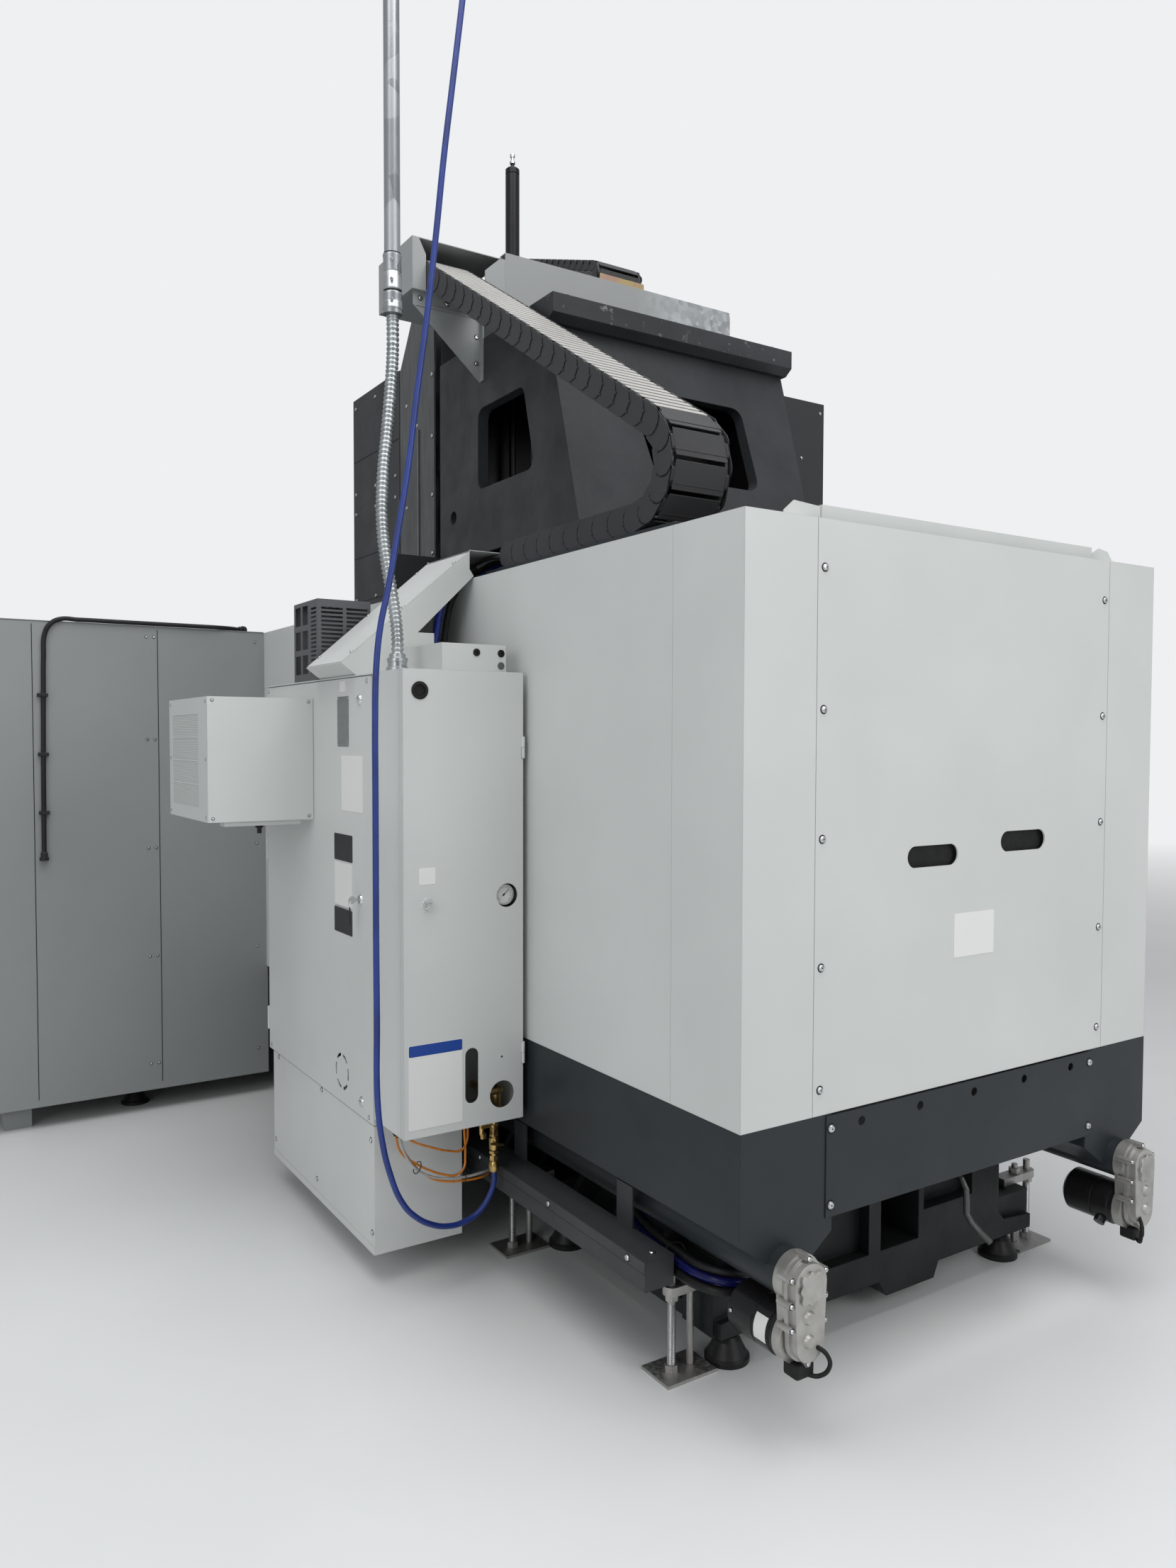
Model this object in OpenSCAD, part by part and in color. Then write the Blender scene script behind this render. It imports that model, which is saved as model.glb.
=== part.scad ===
// Horizontal machining centre with a T-shaped bed. The column travels along Y on
// the rear leg of the bed, the head climbs the front of the column, and the rotary
// table crosses the front leg along X. The operator stands at -Y, the rear is +Y.
// The origin is on the floor, in the middle of the four outer anchors of the rear leg.

/* [Bed and floor fixings] */
// Half width of the rear leg of the bed
bed_half_w = 450; // [420:5:470]
// Half width of the foot flange of the rear leg
foot_half_w = 600; // [580:5:615]
// Height of the underside of the foot flange over the floor
foot_z = 90; // [80:1:100]
// Thickness of the foot flange
foot_t = 40; // [30:1:50]
// Height of the top of the rear leg
bed_top = 640; // [620:5:650]
// Distance from the middle pair of anchors to the rear and the front pair
anchor_pitch = 800; // [760:5:820]
// Distance of the anchor rods from the middle of the machine
anchor_x = 690; // [680:1:700]
// Radius of the anchor rods
rod_r = 10; // [8:0.5:12]
// Distance of the levelling pads of the rear leg from the middle
pad_x = 530; // [520:1:540]
// Radius of a levelling pad at the floor
pad_r = 57; // [50:1:59]

/* [Guards] */
// Half width over the sheet guards of the rear box
guard_half_w = 758; // [740:1:770]
// Height of the lower edge of the light guards
guard_bottom = 703; // [690:1:715]
// Height of the upper edge of the rear box
guard_top = 2043; // [1980:1:2060]
// Outer face of the rear panel
rear_y = 1130; // [1110:1:1150]
// Front end of the side guards of the rear box
guard_front_y = -421; // [-424:1:-421]
// Thickness of the guard sheets with their folded edges
sheet = 4; // [3:0.5:6]
// Width of the corner guards on the rear face
corner_w = 211; // [190:1:230]
// Length of the corner guards on the side faces
corner_side = 250; // [220:1:280]
// Height of the edge where the dark skirt turns inwards
skirt_bottom = 458; // [450:1:470]
// Width of the dark skirt ends on the rear face
skirt_end_w = 275; // [260:1:290]

/* [Chip augers] */
// Distance of the auger axes from the middle
auger_x = 630; // [620:1:640]
// Height of the auger axes
auger_z = 378; // [370:1:385]
// Outer radius of the auger tubes
tube_r = 52; // [48:1:54]
// Radius of the auger flights
flight_r = 44; // [38:1:45]
// Pitch of the auger flights
flight_pitch = 105; // [95:1:120]
// Distance from the auger axis down to the motor axis
motor_drop = 130; // [126:1:136]
// Radius of the auger motors
motor_r = 60; // [55:1:62]
// Length of the auger motors
motor_len = 155; // [140:1:170]

/* [Column] */
// Half width of the column
col_half_w = 490; // [475:1:500]
// Front face of the column
col_front_y = -920; // [-930:1:-910]
// Rear face of the column at the height of the rear box
col_rear_y = 60; // [40:1:80]
// Lean of the rear face, in millimetres per millimetre of height
col_lean = 0.275; // [0.25:0.005:0.3]
// Height of the top of the column
col_top = 2945; // [2930:1:2960]
// Thickness of the walls of the column
col_wall = 42; // [30:1:50]
// Thickness of the flange at the top
top_flange_t = 60; // [50:1:70]
// Running clearance between parts that slide on each other
run_gap = 0.3; // [0.2:0.1:0.5]
// Distance of the column rails from the middle
rail_x = 360; // [350:1:370]
// Distance of the head rails from the middle
head_rail_x = 330; // [320:1:340]

/* [Energy chains] */
// Inner side of the large chain
chain_x = 524; // [520:1:530]
// Width of the large chain
chain_w = 176; // [160:1:178]
// Height of the links of the large chain
chain_h = 75; // [70:1:78]
// Radius of the bend, at the middle of the links
bend_r = 122; // [118:1:126]
// Position of the bend along Y
bend_y = 644; // [620:1:660]
// Height of the middle of the lower run
lower_z = 2104; // [2100:1:2110]
// Slope of the upper run
upper_slope = 31.5; // [31:0.1:32]
// Number of links in the lower run
links_lower = 9; // [7:1:11]
// Number of links in the bend
links_bend = 5; // [4:1:6]
// Number of links in the upper run
links_upper = 22; // [18:1:26]

/* [Cabinets] */
// Outer face of the electrical cabinet
cab_x = 1139; // [1130:1:1150]
// Inner face of the electrical cabinet
cab_in_x = 864; // [862:1:880]
// Front end of the electrical cabinet
cab_front_y = -960; // [-980:1:-950]
// Rear face of the electrical cabinet
cab_rear_y = 10; // [0:1:20]
// Height of the underside of the cabinet
cab_z = 92; // [80:1:110]
// Height of the top of the cabinet
cab_top = 1735; // [1725:1:1745]
// Height of the seam under the cabinet door
door_z = 462; // [450:1:475]
// Inner side of the lubrication cabinet
lube_in_x = 778; // [774:1:790]
// Rear face of the lubrication cabinet's door
lube_y = 218; // [210:1:226]
// Height of the underside of the lubrication cabinet
lube_z = 485; // [475:1:495]
// How far the cooler stands out from the cabinet door
cooler_depth = 326; // [300:1:340]

/* [Front enclosure] */
// Half width of the front chamber
front_half_w = 1950; // [1900:5:2000]
// Rear wall of the wide front chamber
front_wall_y = -1915; // [-1930:1:-1900]
// Front face of the front chamber
front_y = -3220; // [-3300:5:-3180]
// Height of the roof of the front chamber
front_top = 2012; // [2000:1:2025]
// Outer face of the side walls between the chamber and the rear box
side_x = 860; // [858:1:862]
// Half width of the operator opening
opening_half_w = 560; // [500:5:600]
// Height of the lower edge of the operator opening
opening_z = 880; // [850:5:920]

/* [Head and table] */
// Height of the spindle axis
spindle_z = 1750; // [1740:1:1760]
// Half width of the head casting
head_half_w = 270; // [250:1:280]
// Radius of the spindle nose
nose_r = 105; // [95:1:110]
// Radius of the spindle
spindle_r = 62; // [55:1:68]
// Axis of the rotary table along Y
table_y = -2570; // [-2590:1:-2550]
// Side of the square pallet
pallet = 500; // [450:5:520]
// Radius of the rotary table under the pallet
table_r = 240; // [200:1:245]

/* [Hidden] */
$fn = 48;

bed_rear_y = 880;
cross_y = -1950;
cross_front_y = -3050;
cross_half_w = 1500;
cross_top = 560;
rail_w = 45;
rail_h = 50;
rail_top = bed_top + rail_h;
table_rail_dy = 250;
table_rail_top = cross_top + rail_w;
col_bottom = bed_top + 75;
skin_top = guard_top + 37;
lug_top = 200;
rod_b_x = anchor_x - 58;
seat = 0.3;
side_inner = guard_half_w - sheet;
hopper_slope = 38;
hopper_in_x = guard_half_w - skirt_end_w;
chain_mid_x = chain_x + chain_w / 2;
upper_len = 1576;
upper_start = [bend_y + bend_r * sin(upper_slope), lower_z + bend_r + bend_r * cos(upper_slope)];
upper_end = upper_start + upper_len * [-cos(upper_slope), sin(upper_slope)];
lower_start_y = bend_y - 654;
lube_depth = lube_y - cab_rear_y;
nose_y = -1900;
head_front_y = -1650;
head_back_y = col_front_y - 45;
screw_y = col_front_y + 50;
head_low_z = spindle_z - 300;
head_top_z = spindle_z + 400;
cover_x = col_half_w + 5;
cover_low_z = 2120;
cover_top_z = 3030;
cover_front_y = -1790;
cylinder_pos = [264, -770];
cylinder_r = 26;
mag_center = [-770, -885, 2515];
door_half_w = opening_half_w + 40;
door_y = front_y - 45;
pendant_pivot = [1180, front_y - 60];

// Colours of the real finishes
light = [0.78, 0.80, 0.80];
dark = [0.20, 0.22, 0.23];
casting = [0.13, 0.14, 0.15];
steel = [0.62, 0.63, 0.65];

module mirror_x(both = true) {
  children();
  if (both) mirror([1, 0, 0]) children();
}

// A plate given by its two corners
module slab(a, b) {
  translate(a) cube(b - a);
}

// A polygon in the YZ plane, extruded along X from x0
module side_profile(points, x0, w) {
  translate([x0, 0, 0]) rotate([90, 0, 90]) linear_extrude(w) polygon(points);
}

// A polygon in the XZ plane, extruded along +Y from y0
module rear_profile(points, y0, w) {
  translate([0, y0 + w, 0]) rotate([90, 0, 0]) linear_extrude(w) polygon(points);
}

// A slot with round ends in the XZ plane, centred at the origin
module obround(len, r, depth) {
  rotate([90, 0, 0]) linear_extrude(depth, center = true) {
    square([len - 2 * r, 2 * r], center = true);
    for (s = [-1, 1]) translate([s * (len / 2 - r), 0]) circle(r);
  }
}

// A 2D outline with its corners rounded by arcs
module rounded(points, r) {
  offset(r) offset(-r) polygon(points);
}

// A cross recessed pan head screw seen on sheet metal, its axis along +Z
module pan_screw(r = 7, h = 4) {
  cylinder(r1 = r, r2 = r * 0.7, h = h, $fn = 16);
}

// One tube along a list of points, as a single polyhedron with rings of n sides
function unit3(v) = v / norm(v);
function ring_frame(pts, i) =
  let (n = len(pts) - 1,
    t = unit3(pts[min(i + 1, n)] - pts[max(i - 1, 0)]),
    ref = abs(t[1]) > 0.95 ? [1, 0, 0] : [0, 1, 0],
    u = unit3(cross(t, ref)))
  [u, cross(t, u)];
module tube_along(pts, r, n = 8) {
  rings = [for (i = [0:len(pts) - 1])
    let (f = ring_frame(pts, i))
    for (k = [0:n - 1])
      pts[i] + r * (cos(360 * k / n) * f[0] + sin(360 * k / n) * f[1])];
  m = len(pts);
  sides = [for (i = [0:m - 2], k = [0:n - 1])
    [i * n + k, (i + 1) * n + k, (i + 1) * n + (k + 1) % n, i * n + (k + 1) % n]];
  caps = [[for (k = [0:n - 1]) k], [for (k = [0:n - 1]) m * n - 1 - k]];
  polyhedron(rings, concat(sides, caps), convexity = 10);
}

// T-shaped cast bed with a foot flange, clamp lugs, ribs and cored pockets
bed_shoulder = 70;
module bed_section() {
  polygon([
    [-foot_half_w, foot_z], [foot_half_w, foot_z], [foot_half_w, foot_z + foot_t],
    [bed_half_w + 25, foot_z + foot_t + 12], [bed_half_w, foot_z + foot_t + 40],
    [bed_half_w, bed_top - 90], [bed_half_w - bed_shoulder + 40, bed_top - 40],
    [bed_half_w - bed_shoulder + 28, bed_top],
    [rail_x - 45, bed_top], [rail_x - 60, bed_top - 40],
    [-(rail_x - 60), bed_top - 40], [-(rail_x - 45), bed_top],
    [-(bed_half_w - bed_shoulder + 28), bed_top],
    [-(bed_half_w - bed_shoulder + 40), bed_top - 40], [-bed_half_w, bed_top - 90],
    [-bed_half_w, foot_z + foot_t + 40], [-(bed_half_w + 25), foot_z + foot_t + 12],
    [-foot_half_w, foot_z + foot_t]
  ]);
}
pocket_w = 150;
drain_pos = [-215, 345];
module bed() {
  color(casting) difference() {
    union() {
      translate([0, bed_rear_y, 0]) rotate([90, 0, 0])
        linear_extrude(bed_rear_y - cross_y) bed_section();
      side_profile([
        [cross_front_y, foot_z], [cross_y, foot_z], [cross_y, cross_top],
        [cross_y - 120, cross_top], [cross_y - 150, cross_top - 60],
        [table_y + table_rail_dy + 90, cross_top - 60],
        [table_y + table_rail_dy + 60, cross_top],
        [cross_front_y + 40, cross_top], [cross_front_y, cross_top - 40]
      ], -cross_half_w, 2 * cross_half_w);
      for (s = [-1, 1], y = [-1, 0, 1] * anchor_pitch)
        translate([s * (bed_half_w + 80), y, (foot_z + lug_top) / 2])
          cube([160, 120, lug_top - foot_z], center = true);
      for (s = [-1, 1], y = [cross_y + 300:220:bed_rear_y - 80])
        translate([0, y, 0]) rear_profile([
          [s * bed_half_w, foot_z + foot_t], [s * (foot_half_w - 30), foot_z + foot_t],
          [s * bed_half_w, foot_z + foot_t + 190]
        ], -12, 24);
      rear_profile([
        [-190, foot_z], [-170, foot_z - 44], [20, foot_z - 44], [50, foot_z]
      ], bed_rear_y - 120, 120);
    }
    // Cored pockets in the rear face
    slab([-105, bed_rear_y - 150, 175], [-105 + pocket_w, bed_rear_y + 1, 455]);
    slab([-330, bed_rear_y - 40, 250], [-125, bed_rear_y + 1, 455]);
    slab([90, bed_rear_y - 40, 175], [380, bed_rear_y + 1, 455]);
    translate([drain_pos[0], bed_rear_y - 39, drain_pos[1]]) rotate([90, 0, 0])
      cylinder(r = 30, h = 120);
    // Cells cored from below, between ribs
    for (sx = [-1, 1], k = [0:5])
      slab([sx > 0 ? 30 : -bed_half_w + 50, -1830 + 415 * k, foot_z - 1],
        [sx > 0 ? bed_half_w - 50 : -30, -1450 + 415 * k, bed_top - 130]);
    for (k = [-3:2], y = [-2860, -2485])
      slab([k * 430 + 15, y, foot_z - 1], [k * 430 + 415, y + 345, cross_top - 130]);
    // Cored windows in the sides of the rear leg
    for (s = [-1, 1], y = [-1200, -400, 400])
      translate([s * bed_half_w, y, 400]) rotate([0, 90, 0])
        cylinder(r = 75, h = 60, center = true);
  }
}

// Round levelling pads with their screws and hex nuts, under the foot flange
pad_list = [
  for (s = [-1, 1], y = [820, 60, -760]) [s * pad_x, y],
  for (s = [-1, 1], y = [-2080, -2920]) [s * 1380, y],
  for (y = [0, -2920]) [0, y]
];
module levelling_pads() {
  color([0.08, 0.08, 0.09]) for (p = pad_list) translate(p)
    rotate_extrude() polygon([
      [0, 0], [pad_r, 0], [pad_r, 12], [pad_r - 6, 18], [34, 52], [26, 62],
      [18, 66], [18, foot_z], [0, foot_z]
    ]);
}

// Square floor plates of the six clamp anchors, each drilled for its two rods
plate_size = [150, 110, 8];
module anchor_plates() {
  color([0.45, 0.45, 0.43]) mirror_x() for (y = [-1, 0, 1] * anchor_pitch)
    difference() {
      translate([anchor_x - 100, y - plate_size[1] / 2, 0]) cube(plate_size);
      for (x = [anchor_x, rod_b_x]) translate([x, y, -1])
        cylinder(r = rod_r + 1, h = plate_size[2] + 2);
    }
}

// Anchor rods, hex nuts and the clamp bars that press on the lugs of the bed
bar_t = 22;
module hex_nut(r, h) {
  cylinder(r = r, h = h, $fn = 6);
}
module anchor_clamps() {
  color([0.55, 0.56, 0.57]) mirror_x() for (y = [-1, 0, 1] * anchor_pitch) translate([0, y, 0]) {
    translate([anchor_x, 0, 0]) cylinder(r = rod_r, h = lug_top + 52);
    translate([rod_b_x, 0, 0]) cylinder(r = rod_r - 1, h = lug_top + 50);
    for (z = [plate_size[2], lug_top - 16]) translate([anchor_x, 0, z]) hex_nut(17, 16);
    translate([rod_b_x, 0, lug_top + bar_t]) hex_nut(17, 16);
    difference() {
      translate([bed_half_w + 105, 0, lug_top]) linear_extrude(bar_t) {
        translate([0, -22]) square([anchor_x - bed_half_w - 105, 44]);
        translate([anchor_x - bed_half_w - 105, 0]) circle(22);
      }
    }
  }
}

// Profile rails for the column on the rear leg and for the table on the front leg
module rail_section(w, h) {
  polygon([
    [-w / 2, 0], [w / 2, 0], [w / 2, h * 0.35], [w * 0.34, h * 0.5], [w * 0.34, h * 0.68],
    [w / 2, h * 0.82], [w / 2, h], [-w / 2, h], [-w / 2, h * 0.82], [-w * 0.34, h * 0.68],
    [-w * 0.34, h * 0.5], [-w / 2, h * 0.35]
  ]);
}
col_rail_y = [-1850, 850];
table_rail_x = 1350;
module linear_rails() {
  color(steel) {
    for (s = [-1, 1]) translate([s * rail_x, col_rail_y[1], bed_top]) rotate([90, 0, 0])
      linear_extrude(col_rail_y[1] - col_rail_y[0]) rail_section(rail_w, rail_h);
    for (s = [-1, 1])
      translate([-table_rail_x, table_y + s * table_rail_dy, cross_top]) rotate([90, 0, 90])
        linear_extrude(2 * table_rail_x) rail_section(rail_w, rail_w);
  }
}

// Bent steel drain tube out of the rear face of the bed
drain_path = [
  [-215, 760, 345], [-215, 840, 345], [-215, 905, 345], [-215, 935, 335], [-215, 950, 312],
  [-215, 952, 280], [-215, 953, 245], [-222, 965, 222], [-232, 985, 200], [-246, 1010, 176]
];
module drain_tube() {
  color([0.5, 0.5, 0.48]) difference() {
    union() {
      tube_along(drain_path, 9, 12);
      translate([drain_pos[0], 782, drain_pos[1]]) rotate([90, 0, 0]) cylinder(r = 30, h = 12);
    }
    translate(drain_path[9]) rotate([50, -20, 0]) cylinder(r = 6, h = 60, center = true);
  }
}

// Removable rear panel with two hand slots and five screws down each side
panel_half_w = guard_half_w - corner_w;
slot_list = [[155, 1273], [-190, 1295]];
screw_z = [1935, 1620, 1330, 1040, 762];
module rear_panel() {
  color(light) {
    difference() {
      union() {
        slab([-panel_half_w + 1, rear_y - sheet, guard_bottom], [panel_half_w - 1, rear_y, guard_top]);
        for (s = [-1, 1]) slab(
          [min(s * panel_half_w, s * (panel_half_w - 22)) + (s < 0 ? 1 : -1), rear_y - 26,
            guard_bottom + 20],
          [max(s * panel_half_w, s * (panel_half_w - 22)) + (s < 0 ? 1 : -1), rear_y - sheet,
            guard_top - 20]);
      }
      for (p = slot_list) translate([p[0], rear_y, p[1]]) obround(180, 26, 3 * sheet);
    }
    for (s = [-1, 1], z = screw_z) translate([s * (panel_half_w - 22), rear_y, z])
      rotate([-90, 0, 0]) pan_screw();
  }
}

// Corner guard: one sheet folded round the rear corner of the box
module corner_guard() {
  slab([panel_half_w, rear_y - sheet, guard_bottom], [guard_half_w, rear_y, guard_top]);
  slab([guard_half_w - sheet, rear_y - corner_side, guard_bottom], [guard_half_w, rear_y, guard_top]);
  slab([panel_half_w, rear_y - 26, guard_bottom + 20], [panel_half_w + sheet, rear_y, guard_top - 20]);
  slab([guard_half_w - 26, rear_y - corner_side, guard_bottom + 20],
    [guard_half_w, rear_y - corner_side + sheet, guard_top - 20]);
  slab([panel_half_w, rear_y - 40, guard_top - sheet], [guard_half_w, rear_y, guard_top]);
  slab([guard_half_w - 40, rear_y - corner_side, guard_top - sheet], [guard_half_w, rear_y, guard_top]);
}
module corner_guard_right() { color(light) corner_guard(); }
module corner_guard_left() { color(light) mirror([1, 0, 0]) corner_guard(); }

// Side guard: a long sheet with folded edges, stiffened by two folds inside
module side_guard() {
  y1 = rear_y - corner_side;
  slab([guard_half_w - sheet, guard_front_y, guard_bottom], [guard_half_w, y1, guard_top]);
  slab([guard_half_w - 40, guard_front_y, guard_top - sheet], [guard_half_w, y1, guard_top]);
  slab([guard_half_w - 40, guard_front_y, guard_bottom], [guard_half_w, y1, guard_bottom + sheet]);
  slab([guard_half_w - 40, guard_front_y, guard_bottom], [guard_half_w, guard_front_y + sheet, guard_top]);
  slab([guard_half_w - 26, y1 - sheet, guard_bottom + 20], [guard_half_w, y1, guard_top - 20]);
}
module side_guard_right() { color(light) side_guard(); }
module side_guard_left() { color(light) mirror([1, 0, 0]) side_guard(); }

// Folded strip behind the top of the rear panel, with a gusset at each end
module guard_top_rail() {
  color(light) {
    slab([-panel_half_w + 40, rear_y - 34, guard_top - 60], [panel_half_w - 40, rear_y - 30, skin_top]);
    slab([-panel_half_w + 40, rear_y - 60, skin_top - sheet], [panel_half_w - 40, rear_y - 30, skin_top]);
    for (s = [-1, 1]) translate([s * (panel_half_w + 10), 0, 0])
      rear_profile([
        [-60, guard_top + seat], [60, guard_top + seat], [60, guard_top + 14],
        [s > 0 ? 30 : 10, skin_top + 2], [s > 0 ? -60 : -30, skin_top - 4]
      ], rear_y - 38, 4);
    mirror_x() slab([panel_half_w - 50, rear_y - 38, guard_top - 40],
      [panel_half_w - 2, rear_y - 34, guard_top + 2]);
    slab([-panel_half_w + 40, rear_y - 30, guard_top - 60],
      [panel_half_w - 40, rear_y - 26, guard_top - 30]);
  }
}

// Dark skirt with the V-shaped auger trough under it, round bottomed, ending in
// the auger tube at the rear
trough_t = 5;
module trough_outline(grow) {
  r = tube_r - trough_t + grow;
  out_x = guard_half_w - trough_t + grow;
  in_x = hopper_in_x + trough_t - grow;
  translate([auger_x, auger_z]) circle(r);
  polygon([
    [out_x, guard_bottom], [out_x, skirt_bottom - grow * 0.4],
    [auger_x + r * cos(25), auger_z + r * sin(25)], [auger_x, auger_z],
    [auger_x - r * cos(22), auger_z - r * sin(22)],
    [in_x, skirt_bottom - 25 - grow * 0.4], [in_x, skirt_bottom + 40],
    [hopper_in_x + trough_t, skirt_bottom + 40], [hopper_in_x + trough_t, guard_bottom]
  ]);
}
skirt_front_y = -1905;
module skirt() {
  difference() {
    translate([0, rear_y, 0]) rotate([90, 0, 0])
      linear_extrude(rear_y - skirt_front_y) trough_outline(trough_t);
    translate([0, rear_y - sheet, 0]) rotate([90, 0, 0])
      linear_extrude(rear_y - skirt_front_y + 20) difference() {
        trough_outline(0);
        translate([0, guard_bottom - trough_t]) square([guard_half_w - 200, 1]);
      }
    slab([guard_half_w - 240, skirt_front_y - 1, guard_bottom - 130],
      [guard_half_w - 60, rear_y - sheet, guard_bottom + 1]);
    slab([hopper_in_x - 1, skirt_front_y - 1, skirt_bottom + 12],
      [hopper_in_x + 60, rear_y - 60, guard_bottom + 1]);
    translate([auger_x, rear_y + 1, auger_z]) rotate([90, 0, 0]) cylinder(r = tube_r - trough_t, h = 30);
  }
  // Folded rim that the light guards stand on
  slab([guard_half_w - 45, skirt_front_y, guard_bottom - sheet],
    [guard_half_w - trough_t, rear_y - sheet, guard_bottom]);
  translate([auger_x, rear_y, auger_z]) rotate([-90, 0, 0]) difference() {
    cylinder(r = tube_r, h = 26);
    translate([0, 0, -1]) cylinder(r = tube_r - trough_t, h = 28);
  }
}
module skirt_right() { color(dark) skirt(); }
module skirt_left() { color(dark) mirror([1, 0, 0]) skirt(); }

// Removable dark panel between the skirt ends, with holes along its top edge
module skirt_rear() {
  half = hopper_in_x;
  color(dark) {
    difference() {
      union() {
        slab([-half - 22, rear_y, skirt_bottom + 6], [half + 22, rear_y + 3, guard_bottom - 4]);
        slab([-half + 2, rear_y - 30, skirt_bottom + 6], [half - 2, rear_y, skirt_bottom + 10]);
        slab([-half + 2, rear_y - 30, skirt_bottom + 6], [half - 2, rear_y - 26, skirt_bottom + 50]);
      }
      for (k = [-2:2]) translate([k * 200 - 8, rear_y, guard_bottom - 34]) rotate([90, 0, 0])
        cylinder(r = 11, h = 20, center = true);
    }
    for (s = [-1, 1], z = [skirt_bottom + 34, guard_bottom - 34])
      translate([s * (half + 8), rear_y + 3, z]) rotate([-90, 0, 0]) pan_screw(8, 4);
  }
}

// Chip auger: a round shaft with a screw flight twisted round it
auger_front_y = skirt_front_y + 15;
flight_turns = floor((rear_y - 70 - auger_front_y) / flight_pitch);
module auger() {
  translate([auger_x, 0, auger_z]) rotate([-90, 0, 0]) {
    translate([0, 0, auger_front_y]) cylinder(r = 16, h = gear_y0 + 20 - auger_front_y, $fn = 24);
    translate([0, 0, auger_front_y + 20])
      linear_extrude(flight_turns * flight_pitch, twist = -360 * flight_turns, slices = 10 * flight_turns,
        $fn = 4)
        polygon([[10, -2], [flight_r, -9], [flight_r, 9], [10, 2]]);
  }
}
module auger_right() { color(steel) auger(); }
module auger_left() { color(steel) mirror([1, 0, 0]) auger(); }

// Die-cast gearboxes that join each auger to the motor hanging under it
gear_y0 = rear_y + 26;
gear_t = 62;
module gear_plate(grow, y0, t) {
  translate([auger_x, y0 + t, auger_z]) rotate([90, 0, 0]) linear_extrude(t) {
    circle(46 + grow);
    translate([0, -motor_drop]) circle(40 + grow);
    polygon([[-46 - grow, 0], [46 + grow, 0], [40 + grow, -motor_drop], [-40 - grow, -motor_drop]]);
  }
}
module gearbox() {
  difference() {
    union() {
      translate([auger_x, gear_y0, auger_z]) rotate([-90, 0, 0]) cylinder(r = 56, h = 30);
      gear_plate(0, gear_y0, gear_t);
      gear_plate(6, gear_y0 + 30, 12);
      translate([auger_x, gear_y0, auger_z - motor_drop]) rotate([-90, 0, 0]) cylinder(r = 58, h = 26);
      // Bosses of the cover screws round the edge
      for (p = [[50, 18], [50, -38], [48, -92], [-50, 18], [-50, -38], [-48, -92], [0, 54],
        [0, -motor_drop - 47]])
        translate([auger_x + p[0], gear_y0 + 14, auger_z + p[1]]) rotate([-90, 0, 0])
          cylinder(r = 8, h = gear_t - 22, $fn = 16);
      // Bearing domes on the cover
      for (z = [-70, -motor_drop + 8]) translate([auger_x + 6, gear_y0 + gear_t, auger_z + z])
        rotate([-90, 0, 0]) cylinder(r1 = 16, r2 = 12, h = 7);
      translate([auger_x, gear_y0 + gear_t + 2, auger_z - 4]) cube([56, 4.02, 62], center = true);
    }
    translate([auger_x, gear_y0 - 1, auger_z]) rotate([-90, 0, 0]) cylinder(r = 16 + seat, h = 26);
  }
}
module auger_gearboxes() { color([0.66, 0.66, 0.64]) mirror_x() gearbox(); }

// Black geared motors lying along Y under the auger tubes
module auger_motor() {
  translate([auger_x, gear_y0, auger_z - motor_drop]) rotate([90, 0, 0]) {
    rotate_extrude() polygon([
      [0, 0], [motor_r - 4, 0], [motor_r - 4, 14], [motor_r, 16], [motor_r, 62],
      [motor_r - 2, 63], [motor_r - 2, 66], [motor_r, 67], [motor_r, motor_len - 10],
      [motor_r - 10, motor_len], [0, motor_len]
    ]);
    translate([0, 0, 40]) rotate([90, 0, -45]) cylinder(r = 15, h = motor_r + 14);
  }
}
module auger_motors() { color([0.09, 0.09, 0.10]) mirror_x() auger_motor(); }

// Cable raceway: a folded channel with a screwed lid, hung from the skirt by straps
race_x = [715, 800];
race_z = [247, 320];
race_y = [-700, 842];
module raceway() {
  color([0.27, 0.28, 0.29]) {
    difference() {
      slab([race_x[0], race_y[0], race_z[0]], [race_x[1], race_y[1], race_z[1] - 2]);
      slab([race_x[0] + 3, race_y[0] - 1, race_z[0] + 3], [race_x[1] - 3, race_y[1] - 3, race_z[1] - 4]);
    }
    slab([race_x[0] - 2, race_y[0], race_z[1] - 2], [race_x[1] + 2, race_y[1] + 1, race_z[1]]);
    slab([race_x[1], race_y[0], race_z[1] - 28], [race_x[1] + 2, race_y[1] + 1, race_z[1]]);
    for (y = [race_y[1] - 70, 400, 0]) translate([race_x[1] + 2, y, race_z[1] - 14])
      rotate([0, 90, 0]) pan_screw(6, 3);
    translate([race_x[0] + 40, race_y[1] - 35, race_z[1]]) pan_screw(6, 3);
    // Straps up to the sloping side of the trough
    for (y = [-560, 100, 640]) side_profile([
      [y - 35, race_z[1] - 1], [y + 35, race_z[1] - 1],
      [y + 35, skirt_bottom - 32], [y - 35, skirt_bottom - 32]
    ], race_x[0], 5);
  }
}

// Tray that carries the lower run of the large chain, on posts inside the side guard
tray_z = lower_z - chain_h / 2;
module chain_tray() {
  color(dark) {
    slab([chain_x - 14, lower_start_y - 120, tray_z - 4], [guard_half_w - 48, bend_y + 180, tray_z]);
    slab([chain_x - 14, lower_start_y - 120, tray_z - 4], [chain_x - 10, bend_y + 180, tray_z + 18]);
    slab([guard_half_w - 52, lower_start_y - 120, tray_z - 60], [guard_half_w - 48, bend_y + 180, tray_z]);
    for (y = [-100, 300, 700])
      slab([guard_half_w - 52, y, tray_z - 60], [guard_half_w - sheet, y + 5, tray_z - 28]);
  }
}

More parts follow.
